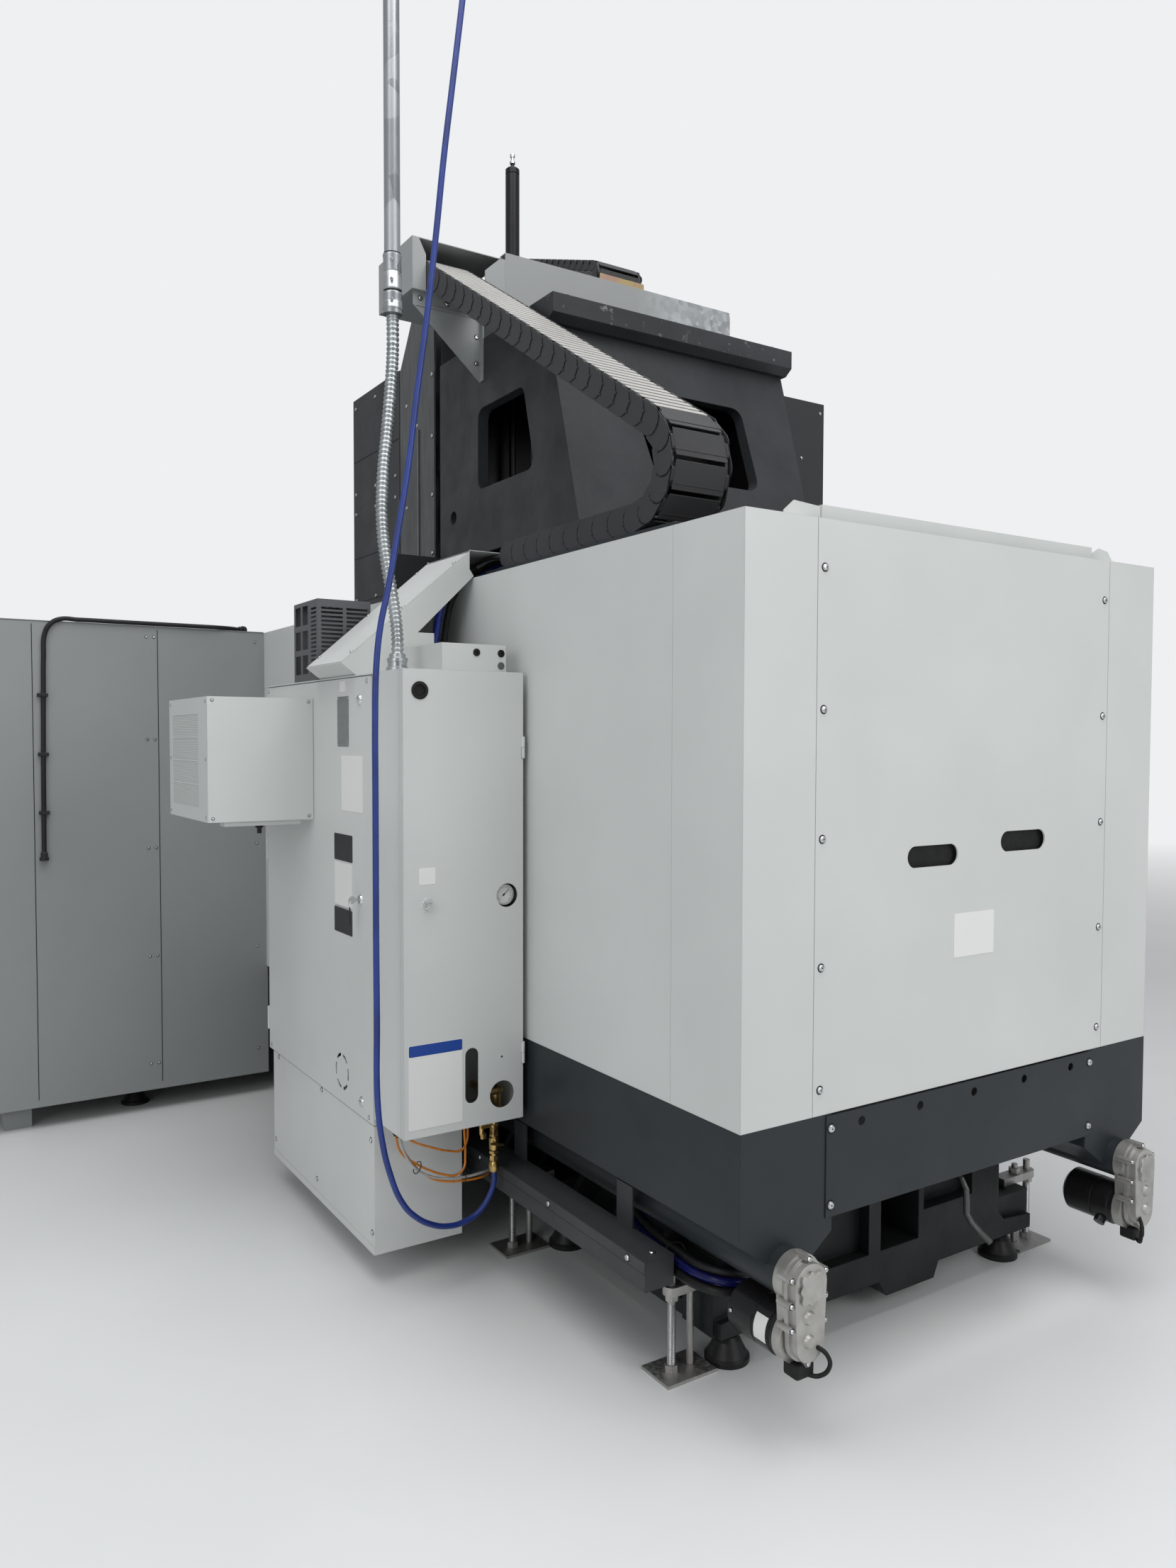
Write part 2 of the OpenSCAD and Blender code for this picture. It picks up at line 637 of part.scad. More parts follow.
// Chains: both side plates with a step round every joint, and cross bars between
plate_t = 9;
function plate_edge(pts, h, side) = [
  for (i = [0:len(pts) - 2]) let (d = pts[i + 1] - pts[i], m = side * h / 2 * [-d[1], d[0]] / norm(d))
    for (s = norm(d) < h * 0.75 ? [[0.42, 1], [0.58, 1]]
      : [[0.16, 0.8], [0.2, 0.93], [0.28, 1], [0.72, 1], [0.8, 0.93], [0.84, 0.8]])
      pts[i] + d * s[0] + m * s[1]
];
function turned_round(v) = [for (i = [len(v) - 1:-1:0]) v[i]];
function run_points(a, b, n) = [for (k = [0:n - 1]) a + (b - a) * k / n];
function bend_points(c, r, a0, a1, n) = [for (k = [0:n]) let (a = a0 + (a1 - a0) * k / n)
  c + r * [cos(a), sin(a)]];
chain_points = concat(
  run_points([lower_start_y, lower_z], [bend_y, lower_z], links_lower),
  bend_points([bend_y, lower_z + bend_r], bend_r, -90, 90 - upper_slope, links_bend),
  [for (k = [1:links_upper]) upper_start + (upper_end - upper_start) * k / links_upper]
);
module links_along(pts, x0, h, w) {
  outline = concat(plate_edge(pts, h, 1), turned_round(plate_edge(pts, h, -1)));
  for (x = [x0, x0 + w - plate_t]) side_profile(outline, x, plate_t);
  for (i = [0:len(pts) - 2]) {
    d = pts[i + 1] - pts[i];
    translate([x0, pts[i][0], pts[i][1]]) rotate([90, 0, 90]) rotate([0, 0, atan2(d[1], d[0])]) {
      // Outer and inner cross bars, and the studs of the joint
      translate([norm(d) * 0.07, -h * 0.45, plate_t - 1])
        cube([norm(d) * 0.86, h * 0.08, w - 2 * plate_t + 2]);
      if (norm(d) > h * 0.75)
        translate([norm(d) * 0.2, h * 0.37, plate_t - 1])
          cube([norm(d) * 0.6, h * 0.08, w - 2 * plate_t + 2]);
      if (i > 0) for (z = [-1.5, w - plate_t + 1]) translate([0, 0, z])
        cylinder(r = h * 0.3, h = plate_t + 0.5);
    }
  }
}
module energy_chain() {
  color([0.14, 0.14, 0.15]) {
    links_along(chain_points, chain_x, chain_h, chain_w);
    translate([chain_x + plate_t + 4, lower_start_y - 80, tray_z])
      cube([chain_w - 2 * plate_t - 8, 100, 10]);
  }
}

// Electrical cabinet with its plinth, folded round the door opening
cab_wall = 3;
module elec_cabinet() {
  color(light) {
    difference() {
      slab([cab_in_x, cab_front_y, door_z - 2], [cab_x - 20, cab_rear_y, cab_top - 4]);
      slab([cab_in_x + cab_wall, cab_front_y + cab_wall, door_z + 4],
        [cab_x, cab_rear_y - cab_wall, cab_top - 10]);
    }
    // Folded frame that the door closes on
    difference() {
      slab([cab_x - 23, cab_front_y, door_z - 2], [cab_x - 19 - run_gap, cab_rear_y, cab_top - 4]);
      slab([cab_x - 30, cab_front_y + 40, door_z + 40], [cab_x - 12, cab_rear_y - 40, cab_top - 44]);
    }
    // Rain lip over the door
    slab([cab_in_x, cab_front_y - 2, cab_top - 4], [cab_x + 2, cab_rear_y + 2, cab_top]);
    // Plinth
    difference() {
      slab([cab_in_x, cab_front_y + 40, cab_z], [cab_x - 2, cab_rear_y - 4, door_z - 1]);
      slab([cab_in_x + cab_wall, cab_front_y + 43, cab_z - 1], [cab_x - 5, cab_rear_y - 7, door_z - 10]);
    }
    slab([cab_in_x, cab_front_y + 40, cab_z], [cab_x, cab_rear_y - 4, cab_z + 22]);
    // Fixed leaves of the door's hinges
    for (z = elec_hinge_z) {
      barrel(cab_x, cab_front_y, z, 40);
      slab([cab_x - 60, cab_front_y - 3, z], [cab_x, cab_front_y + 1, z + 40]);
    }
    // Mounting plate and brackets to the side wall of the machine
    slab([cab_in_x + 2, cab_front_y + 50, door_z + 60], [cab_in_x + 8, cab_rear_y - 50, cab_top - 60]);
    for (z = [700, 1500]) {
      slab([side_x, cab_front_y + 120, z], [cab_in_x, cab_front_y + 180, z + 60]);
      slab([guard_half_w, cab_rear_y - 200, z], [cab_in_x, cab_rear_y - 140, z + 4]);
    }
  }
}

// Knuckle hinge: the barrels of both leaves on one axis, stacked along Z
hinge_r = 6;
elec_hinge_z = [530, 1130];
lube_hinge_z = [640, 1500];
module barrel(x, y, z, h, r = hinge_r) {
  translate([x, y, z]) cylinder(r = r, h = h, $fn = 24);
}

// Cabinet door with two filter vents and a ring of arc slots
elec_door_y = [cab_front_y + 2, cab_rear_y - 4];
vent_list = [[-218, 1232], [-222, 1020]];
vent_size = [156, 88];
ring_pos = [-242, 557];
module elec_door() {
  color(light) difference() {
    union() {
      slab([cab_x - 3, elec_door_y[0], door_z + 2], [cab_x, elec_door_y[1], cab_top - 6]);
      slab([cab_x - 19, elec_door_y[0], door_z + 2], [cab_x, elec_door_y[0] + 3, cab_top - 6]);
      slab([cab_x - 19, elec_door_y[1] - 3, door_z + 2], [cab_x, elec_door_y[1], cab_top - 6]);
      slab([cab_x - 19, elec_door_y[0], door_z + 2], [cab_x, elec_door_y[1], door_z + 5]);
      slab([cab_x - 19, elec_door_y[0], cab_top - 9], [cab_x, elec_door_y[1], cab_top - 6]);
      for (p = vent_list) slab([cab_x - 12, p[0] - 70, p[1] - 36], [cab_x - 3, p[0] + 70, p[1] + 36]);
      for (z = elec_hinge_z) barrel(cab_x, cab_front_y, z + 40.5, 40);
    }
    for (z = elec_hinge_z) {
      barrel(cab_x, cab_front_y, z - 1, 41.5, hinge_r + 1);
      slab([cab_x - 70, cab_front_y - 4, z - 1], [cab_x, cab_front_y + 2.5, z + 41]);
    }
    for (p = vent_list, k = [-9:9])
      translate([cab_x, p[0] + k * 7.4, p[1]]) cube([10, 4.4, vent_size[1] - 18], center = true);
    for (k = [0:5]) translate([cab_x, ring_pos[0], ring_pos[1]]) rotate([0, 90, 0])
      rotate([0, 0, 60 * k + 10]) rotate_extrude(angle = 42, $fn = 64)
        translate([46, -6]) square([9, 12]);
    for (z = [1664, 1094, 509]) translate([cab_x, -84, z]) rotate([0, 90, 0])
      cylinder(r = 11, h = 10, center = true);
  }
}

// Quarter-turn locks of the cabinet door, one with its key
module door_locks() {
  color([0.75, 0.75, 0.76]) for (z = [1664, 1094, 509]) translate([cab_x - 16, -84, z]) rotate([0, 90, 0]) {
    cylinder(r = 10.7, h = 16.3);
    translate([0, 0, 16]) cylinder(r1 = 15, r2 = 12, h = 5);
    translate([0, 0, 21]) cube([4, 16, 5], center = true);
  }
}

// Heat exchanger on the cabinet door, with four filter panes and a drip ledge
cooler_y = [-965, -475];
cooler_z = [1300, 1679];
module cooler() {
  x1 = cab_x + cooler_depth;
  color(light) {
    difference() {
      slab([cab_x + 1, cooler_y[0], cooler_z[0]], [x1, cooler_y[1], cooler_z[1]]);
      slab([cab_x + 3, cooler_y[0] + 3, cooler_z[0] + 3], [x1 - 3, cooler_y[1] - 3, cooler_z[1] - 3]);
      for (k = [0:3]) slab([x1 - 4, cooler_y[0] + 50, cooler_z[0] + 42 + 73 * k],
                [x1 + 1, cooler_y[1] - 108, cooler_z[0] + 42 + 73 * k + 66]);
    }
    slab([cab_x, cooler_y[0] + 10, cooler_z[0] + 10], [cab_x + 1, cooler_y[1] - 10, cooler_z[1] - 10]);
    for (k = [0:3], j = [0:15])
      slab([x1 - 3, cooler_y[0] + 52 + j * 20.7, cooler_z[0] + 42 + 73 * k],
        [x1 - 1, cooler_y[0] + 64 + j * 20.7, cooler_z[0] + 108 + 73 * k]);
    slab([cab_x + 40, cooler_y[1] - 60, cooler_z[0] - 14], [x1 - 50, cooler_y[1] - 10, cooler_z[0]]);
  }
}

// Louvred cage over the braking resistors, on the cabinet roof
cage_x = [962, 1136];
cage_y = [-665, -440];
cage_z = [cab_top, 1988];
module resistor_cage() {
  rows = 16;
  pitch = (cage_z[1] - cage_z[0] - 40) / rows;
  color([0.40, 0.41, 0.42]) difference() {
    slab([cage_x[0], cage_y[0], cage_z[0]], [cage_x[1], cage_y[1], cage_z[1]]);
    slab([cage_x[0] + 2, cage_y[0] + 2, cage_z[0] - 1], [cage_x[1] - 2, cage_y[1] - 2, cage_z[1] - 2]);
    for (r = [0:rows - 1], c = [0:1])
      slab([cage_x[0] + 10 + 82 * c, cage_y[1] - 4, cage_z[0] + 22 + r * pitch],
        [cage_x[0] + 80 + 82 * c, cage_y[1] + 2, cage_z[0] + 22 + r * pitch + pitch * 0.52]);
    for (r = [0:rows - 1]) slab([cage_x[1] - 4, cage_y[1] - 62, cage_z[0] + 22 + r * pitch],
                  [cage_x[1] + 2, cage_y[1] - 12, cage_z[0] + 22 + r * pitch + pitch * 0.52]);
    for (r = [0:2], c = [0:1]) slab([cage_x[1] - 4, cage_y[0] + 14 + 68 * c, cage_z[0] + 24 + 78 * r],
                    [cage_x[1] + 2, cage_y[0] + 66 + 68 * c, cage_z[0] + 84 + 78 * r]);
    for (r = [0:5], c = [0:5])
      slab([cage_x[0] + 18 + 24 * c, cage_y[0] + 24 + 32 * r, cage_z[1] - 4],
        [cage_x[0] + 32 + 24 * c, cage_y[0] + 44 + 32 * r, cage_z[1] + 1]);
  }
}

// Cable duct rising from the cabinet roof to the fixed end of the large chain
duct_y = [-420, -120];
duct_w = 92;
duct_foot = [1118, cab_top];
duct_knee = [1000, 1905];
duct_top = [772, 2122];
module cable_duct() {
  color(light) difference() {
    union() {
      rear_profile([
        [duct_foot[0] + 62, cab_top + 34], [duct_top[0], duct_top[1]],
        [duct_top[0], duct_top[1] - 54], [duct_top[0] - 14, duct_top[1] - 74],
        [942, 1868], [890, 1868], [890, cab_top], [duct_foot[0] + 16, cab_top]
      ], duct_y[0], duct_y[1] - duct_y[0]);
      slab([chain_x, duct_y[0], duct_top[1] + 2], [duct_top[0], duct_y[1], duct_top[1] + 4.02]);
      slab([guard_half_w - 20, duct_y[0], guard_top + 1],
        [duct_top[0] + 2, duct_y[0] + 3, duct_top[1] + 4]);
    }
    rear_profile([
      [duct_foot[0] + 50, cab_top + 40], [duct_top[0] - 3, duct_top[1] + 12],
      [duct_top[0] - 30, duct_top[1] - 60], [945, 1876], [900, 1876], [900, cab_top - 1],
      [duct_foot[0] + 10, cab_top - 1]
    ], duct_y[0] + 4, duct_y[1] - duct_y[0] - 8);
  }
}

// Lubrication and air cabinet, open to the rear under its door, with the hood on top
hood_x = [818, 1014];
hood_top = 1813;
module lube_cabinet() {
  color(light) {
    difference() {
      slab([lube_in_x, cab_rear_y + 2, lube_z], [cab_x, lube_y - 21 - run_gap, cab_top + 2]);
      slab([lube_in_x + 3, cab_rear_y + 5, lube_z + 3], [cab_x - 3, lube_y, cab_top - 1]);
      translate([834, 150, lube_z - 1]) cylinder(r = 22, h = 6);
    }
    // Fixed leaves of the door's hinges
    for (z = lube_hinge_z) {
      barrel(lube_in_x - 1, lube_y, z, 30, 5);
      slab([lube_in_x - 5, lube_y - 60, z], [lube_in_x - 1.5, lube_y, z + 30]);
      slab([lube_in_x - 5, lube_y - 60, z], [lube_in_x + 1, lube_y - 30, z + 30]);
    }
    difference() {
      slab([hood_x[0], -100, cab_top + 2], [hood_x[1], lube_y - 24, hood_top]);
      slab([hood_x[0] + 3, -97, cab_top + 1], [hood_x[1] - 3, lube_y - 27, hood_top - 3]);
      for (p = [[910, 1790], [834, 1790], [834, 1756]]) translate([p[0], lube_y - 24, p[1]])
        rotate([90, 0, 0]) cylinder(r = 9, h = 20, center = true);
    }
  }
}

// Door of the lubrication cabinet with its gauge window, slot and access holes
lube_lock = [1070, 1117];
module lube_door() {
  y0 = lube_y - 21;
  color(light) {
    difference() {
      union() {
        slab([lube_in_x - 1, lube_y - 3, lube_z], [cab_x, lube_y, cab_top + 3]);
        for (x = [lube_in_x - 1, cab_x - 3]) slab([x, y0, lube_z], [x + 3, lube_y, cab_top + 3]);
        for (z = [lube_z, cab_top]) slab([lube_in_x - 1, y0, z], [cab_x, lube_y, z + 3]);
        for (z = lube_hinge_z) barrel(lube_in_x - 1, lube_y, z + 30.5, 30, 5);
      }
      for (z = lube_hinge_z) barrel(lube_in_x - 1, lube_y, z - 1, 31.5, 6);
      translate([1090, lube_y, 1681]) rotate([90, 0, 0]) cylinder(r = 21, h = 12, center = true);
      translate([828, lube_y, 1119]) rotate([90, 0, 0]) cylinder(r = 33, h = 12, center = true);
      translate([844, lube_y, 562]) rotate([90, 0, 0]) cylinder(r = 38, h = 12, center = true);
      translate([938, lube_y, 629]) rotate([0, 90, 0]) obround(153, 20, 12);
      translate([lube_lock[0], lube_y, lube_lock[1]]) rotate([90, 0, 0])
        cylinder(r = 9, h = 12, center = true);
    }
    translate([lube_lock[0], lube_y - 2, lube_lock[1]]) rotate([-90, 0, 0]) {
      cylinder(r = 9, h = 2);
      cylinder(r1 = 14, r2 = 12, h = 6);
    }
    translate([lube_lock[0], lube_y + 12, lube_lock[1] - 8]) cube([3, 18, 30], center = true);
  }
}

// Pressure gauge behind its round window, on a short pipe from the cabinet's back
gauge_pos = [828, lube_y - 40, 1119];
module pressure_gauge() {
  color([0.85, 0.85, 0.84]) translate(gauge_pos) {
    rotate([-90, 0, 0]) difference() {
      cylinder(r = 29, h = 24);
      translate([0, 0, 20]) cylinder(r = 26, h = 6);
    }
    rotate([90, 0, 0]) cylinder(r = 7, h = gauge_pos[1] - cab_rear_y - 5);
  }
}

// Brass air valve and quick coupling under the cabinet, where the air hose ends
brass_pos = [834, 150];
module air_coupling() {
  color([0.72, 0.57, 0.28]) translate(brass_pos) {
    translate([0, 0, 352]) cylinder(r = 9, h = 110 + lube_z - 440);
    translate([0, 0, 318]) cylinder(r = 8, h = 36);
    translate([0, 0, 352]) cylinder(r = 13, h = 14, $fn = 6);
    translate([0, 0, 384]) cylinder(r = 14, h = 34);
    translate([0, 0, 430]) cylinder(r = 13, h = 16, $fn = 6);
    translate([0, 0, 462]) cylinder(r = 12, h = 22, $fn = 6);
    translate([0, 0, 500]) cylinder(r = 20, h = 46);
    translate([0, 0, 536]) rotate([90, 0, 0]) cylinder(r = 11, h = 140 - cab_rear_y + 5);
    translate([0, 0, 455]) rotate([0, 90, 0]) cylinder(r = 7, h = 44);
    translate([40, 0, 432]) cylinder(r = 6, h = 30);
    translate([34, 0, 420]) cylinder(r = 9, h = 14, $fn = 6);
  }
}

// Lubrication pump with its clear tank, on the back of its cabinet
module lube_pump() {
  color([0.75, 0.75, 0.70]) {
    slab([900, cab_rear_y + 5, 780], [1080, cab_rear_y + 130, 960]);
    slab([915, cab_rear_y + 5, 960], [1065, cab_rear_y + 110, 1010]);
    translate([990, cab_rear_y + 65, 1010]) cylinder(r = 38, h = 70);
    translate([940, cab_rear_y + 65, 1010]) cylinder(r = 14, h = 16);
  }
}

// Wide chamber in front: walls, roof with the slot for the head, floor pan and
// the operator opening in the front wall
wall_t = 40;
pan_z = 700;
roof_slot_y = -2420;
module front_enclosure() {
  color([0.72, 0.74, 0.74]) difference() {
    slab([-front_half_w, front_y, foot_z], [front_half_w, front_wall_y, front_top]);
    slab([-front_half_w + wall_t, front_y + wall_t, foot_z - 1],
      [front_half_w - wall_t, front_wall_y - 3, front_top - 3]);
    // Operator opening
    slab([-opening_half_w, front_y - 1, opening_z], [opening_half_w, front_y + wall_t + 1, front_top - 60]);
    // Opening in the rear wall and slot in the roof for the head
    slab([-side_x + 5, front_wall_y - 10, foot_z - 1], [side_x - 5, front_wall_y + 1, front_top + 1]);
    slab([-540, roof_slot_y, front_top - 10], [540, front_wall_y + 1, front_top + 1]);
  }
  color([0.25, 0.26, 0.27]) {
    // Sloped floor pan round the table base
    for (s = [-1, 1]) side_profile([
      [table_y + s * 320, pan_z - 60], [table_y + s * 320, pan_z - 64],
      [s > 0 ? front_wall_y - 3 : front_y + wall_t, pan_z - 4],
      [s > 0 ? front_wall_y - 3 : front_y + wall_t, pan_z]
    ], -front_half_w + wall_t, 2 * (front_half_w - wall_t));
    // Guide rails of the operator door
    for (z = [opening_z - 58, front_top - 29.5])
      slab([-door_half_w - 1130, door_y, z], [door_half_w + 20, front_y, z + 17.5]);
    // Bracket and pin of the pendant's arm
    slab([pendant_pivot[0] - 40, pendant_pivot[1] - 40, 1826], [pendant_pivot[0] + 40, front_y, 1849.5]);
    translate([pendant_pivot[0], pendant_pivot[1], 1840]) cylinder(r = 14, h = 104);
    // Feet under the corners of the chamber
    for (x = [-1, 1] * (front_half_w - 110), y = [front_y + 60, front_wall_y - 140])
      slab([x - 50, y, 0], [x + 50, y + 80, foot_z]);
    for (x = [-1, 1] * (front_half_w - 110), y = [front_y + 60, front_wall_y - 140])
      slab([x - 50, y, foot_z - 1], [x + 50, y + 80, foot_z + 4]);
    slab([-front_half_w + 10, front_y + 10, foot_z],
      [-front_half_w + wall_t + 20, front_wall_y - 10, foot_z + 4]);
    slab([front_half_w - wall_t - 20, front_y + 10, foot_z],
      [front_half_w - 10, front_wall_y - 10, foot_z + 4]);
  }
}

// Side walls between the chamber and the rear box, with their folded rear edges
side_rear_y = guard_front_y;
module enclosure_side() {
  slab([side_x - 4, front_wall_y, 560], [side_x, side_rear_y, front_top]);
  slab([side_x - 40, front_wall_y, front_top - 4], [side_x, side_rear_y, front_top]);
  slab([guard_half_w - 60, side_rear_y - 4, guard_bottom], [side_x, side_rear_y, front_top]);
  slab([side_x - 40, front_wall_y, 560], [side_x, front_wall_y + 4, front_top]);
  slab([guard_half_w, front_wall_y, 560], [side_x, side_rear_y, 564]);
  slab([guard_half_w, skirt_front_y, 560], [guard_half_w + 4, side_rear_y, guard_bottom]);
}
module enclosure_sides() { color(light) mirror_x() enclosure_side(); }

// Black cable that climbs the rear of the chamber wall and runs along its top edge
wall_cable_path = [
  [1738, -1904, 1100], [1737, -1904, 1260], [1735, -1904, 1490], [1732, -1904, 1720],
  [1729, -1904, 1880], [1724, -1904, 1960], [1705, -1904, 2000], [1670, -1906, 2022],
  [1600, -1908, 2024], [1450, -1908, 2024], [1300, -1908, 2024], [1150, -1908, 2024],
  [1060, -1910, 2024], [1000, -1925, 2024], [960, -1950, 2024]
];
module wall_cable() {
  color([0.06, 0.06, 0.07]) {
    tube_along(wall_cable_path, 9, 8);
    for (z = [1260, 1490, 1722]) slab([1718, front_wall_y, z - 5], [1752, front_wall_y + 22, z + 5]);
  }
}

// Air hose: down from overhead, under the cabinet in a loop and up to the coupling
hose_path = [
  [968, 270, 3610], [987, 270, 3462], [1014, 270, 3256], [1041, 270, 3050], [1064, 270, 2846],
  [1089, 270, 2643], [1118, 270, 2439], [1145, 270, 2237], [1173, 270, 2076], [1199, 270, 1935],
  [1221, 270, 1835], [1232, 270, 1736], [1236, 270, 1590], [1236, 270, 1438], [1236, 270, 1240],
  [1236, 270, 1038], [1235, 270, 830], [1234, 268, 633], [1218, 255, 522], [1189, 240, 416],
  [1146, 220, 322], [1097, 200, 264], [1044, 185, 226], [990, 172, 204], [932, 160, 199],
  [882, 152, 214], [848, 150, 252], [834, 150, 290], [834, 150, 318]
];
module air_hose() {
  color([0.10, 0.16, 0.48]) tube_along(hose_path, 8, 10);
}

// Supply conduit: a flexible metal hose from the cabinet roof, then a straight tube
conduit_path = [
  [1100, 95, 1776], [1100, 95, 1830], [1106, 95, 1890], [1116, 95, 1950], [1129, 95, 2020],
  [1139, 95, 2090], [1143, 95, 2170], [1138, 95, 2273], [1127, 95, 2379], [1117, 95, 2485],
  [1110, 95, 2589], [1110, 95, 2690]
];
module supply_conduit() {
  color([0.62, 0.64, 0.66]) {
    tube_along(conduit_path, 17, 12);
    translate([1100, 95, cab_top + 2]) cylinder(r = 30, h = 16, $fn = 8);
    translate([1100, 95, cab_top + 18]) cylinder(r = 24, h = 30);
  }
}

// Straight conduit tube that comes down from overhead, with its coupling
module conduit_tube() {
  color([0.62, 0.64, 0.66]) translate([1110, 95, 0]) {
    translate([0, 0, 2690]) cylinder(r = 26, h = 56);
    translate([0, 0, 2740]) cylinder(r = 21.5, h = 900);
  }
}

// Travelling column: a hollow casting with a leaning rear wall and cored windows
function rear_at(z) = col_rear_y - col_lean * (z - 2163);
col_outline = [
  [col_front_y, col_bottom], [rear_at(col_bottom), col_bottom], [rear_at(col_bottom), col_bottom + 90],
  [rear_at(col_top - top_flange_t), col_top - top_flange_t], [rear_at(col_top - top_flange_t), col_top],
  [col_front_y, col_top]
];
win_top_z = 2709;
win_low_z = 2430;
module side_window_2d() {
  rounded([[-612, win_top_z], [-290, win_top_z], [-215, win_low_z], [-612, win_low_z]], 36);
}
module column() {
  inner_rear = rear_at(2163) - col_wall;
  color([0.22, 0.23, 0.24]) {
    difference() {
      union() {
        side_profile(col_outline, -col_half_w, 2 * col_half_w);
        side_profile([
          [-230, col_top - top_flange_t - 22], [rear_at(col_top) + 40, col_top - top_flange_t - 22],
          [rear_at(col_top) + 70, col_top - top_flange_t],
          [rear_at(col_top) + 70, col_top], [-230, col_top]
        ], -col_half_w - 10, 2 * col_half_w + 20);
      }
      // Main core
      side_profile([
        [col_front_y + 90, col_bottom + 120], [rear_at(col_bottom + 120) - col_wall - 30, col_bottom + 120],
        [rear_at(2250) - col_wall, 2250], [col_front_y + 90, 2250]
      ], -col_half_w + col_wall, 2 * (col_half_w - col_wall));
      side_profile([
        [col_front_y + 90, 2300], [rear_at(2300) - col_wall, 2300],
        [rear_at(2860) - col_wall, 2860], [col_front_y + 90, 2860]
      ], -col_half_w + col_wall, 2 * (col_half_w - col_wall));
      // Windows in the sides
      translate([-col_half_w - 1, 0, 0]) rotate([90, 0, 90])
        linear_extrude(2 * col_half_w + 2) side_window_2d();
      side_profile([[-560, 1750], [-140, 1750], [-200, 2206], [-560, 2206]],
            -col_half_w - 1, 2 * col_half_w + 2);
      translate([0, -808, 2364]) rotate([0, 90, 0]) cylinder(r = 24, h = 2 * col_half_w + 2, center = true);
      // Window in the leaning rear wall
      translate([0, rear_at(2550) + 60, 0]) rotate([90, 0, 0]) linear_extrude(160)
        rounded([[212, 2702], [-262, 2702], [-281, 2404], [160, 2404]], 42);
      // Opening in the front wall for the head screw
      slab([-150, col_front_y - 1, 900], [150, col_front_y + 95, 2800]);
      // Holes for the balance rod and the shaft of the head screw
      translate([cylinder_pos[0], cylinder_pos[1], 2200]) cylinder(r = 14, h = col_top - 2190);
      translate([0, screw_y, 2790]) cylinder(r = 28, h = col_top - 2780);
    }
    // Runner blocks on the rails of the bed
    for (s = [-1, 1], y = [col_front_y + 120, -420, rear_at(col_bottom) - 190])
      difference() {
        slab([s * rail_x - 50, y - 80, bed_top + 12], [s * rail_x + 50, y + 80, col_bottom]);
        translate([s * rail_x, y + 81, bed_top]) rotate([90, 0, 0]) linear_extrude(162)
          offset(delta = run_gap) rail_section(rail_w, rail_h);
      }
  }
}

// Light-grey cable trough on top of the column, open to the rear for the chain,
// with a gusset down to the side of the column
trough_x = [403, 756];
trough_z = [3060, 3233];
trough_y = [-860, -570];
module cable_trough() {
  color(light) {
    difference() {
      slab([trough_x[0], trough_y[0], trough_z[0]], [trough_x[1], trough_y[1], trough_z[1]]);
      slab([trough_x[0] - 1, trough_y[0] + 3, trough_z[0] + 3],
        [trough_x[1] - 3, trough_y[1] - 3, trough_z[1] - 3]);
      rear_profile([
        [706, trough_z[0] + 3], [706, 3181], [731, 3230], [427, 3230], [483, 3179], [483, trough_z[0] + 3]
      ], trough_y[1] - 10, 20);
    }
    // Arm under the trough and gusset bolted to the column
    slab([col_half_w, trough_y[1] - 17, 2800], [col_half_w + 4, trough_y[1] + 3, trough_z[0]]);
    rear_profile([
      [col_half_w, trough_z[0]], [746, trough_z[0]], [746, 3015], [col_half_w + 4, 2796], [col_half_w, 2796]
    ], trough_y[1] - 20, 3);
    slab([trough_x[0], trough_y[0] + 30, col_top], [trough_x[0] + 5, trough_y[1] - 30, trough_z[0] + 1]);
  }
}

// Galvanised tray panel across the top of the column, with the yellow plate for
// the top chain
panel_x = [-617, 403];
tray_top = 3258;
module tray_panel() {
  color([0.70, 0.72, 0.74]) {
    rear_profile([
      [panel_x[0], col_top + 140], [panel_x[0], tray_top - 20], [panel_x[0] + 6, tray_top],
      [panel_x[1], tray_top], [panel_x[1], col_top], [-470, col_top], [-470, col_top + 140]
    ], trough_y[1] - 3, 3);
    slab([panel_x[0], trough_y[1] - 40, tray_top - 3], [panel_x[1], trough_y[1] - 3, tray_top]);
    slab([-250, trough_y[1] - 420, tray_top - 3], [110, trough_y[1] - 30, tray_top]);
    for (x = [-250, 107]) slab([x, trough_y[1] - 420, col_top], [x + 3, trough_y[1] - 3, tray_top]);
  }
}

// Smaller chain on top of the column, its upper run rising to the head's mast
top_chain_x = -207;
top_chain_w = 196;
top_chain_h = 38;
top_bend_r = 29;
top_bend = [-652, tray_top + top_chain_h / 2 + top_bend_r];
top_slope = 20;
top_run = 960;
top_start = top_bend + top_bend_r * [sin(top_slope), cos(top_slope)];
top_points = concat(
  run_points([-980, top_bend[1] - top_bend_r], [top_bend[0], top_bend[1] - top_bend_r], 7),
  bend_points(top_bend, top_bend_r, -90, 90 - top_slope, 3),
  [for (k = [1:20]) top_start + top_run * k / 20 * [-cos(top_slope), sin(top_slope)]]
);
function under_top_chain(y) = top_start[1] + (top_start[0] - y) * tan(top_slope)
  - top_chain_h / 2 / cos(top_slope);
module top_chain() {
  color([0.10, 0.10, 0.11]) links_along(top_points, top_chain_x, top_chain_h, top_chain_w);
}

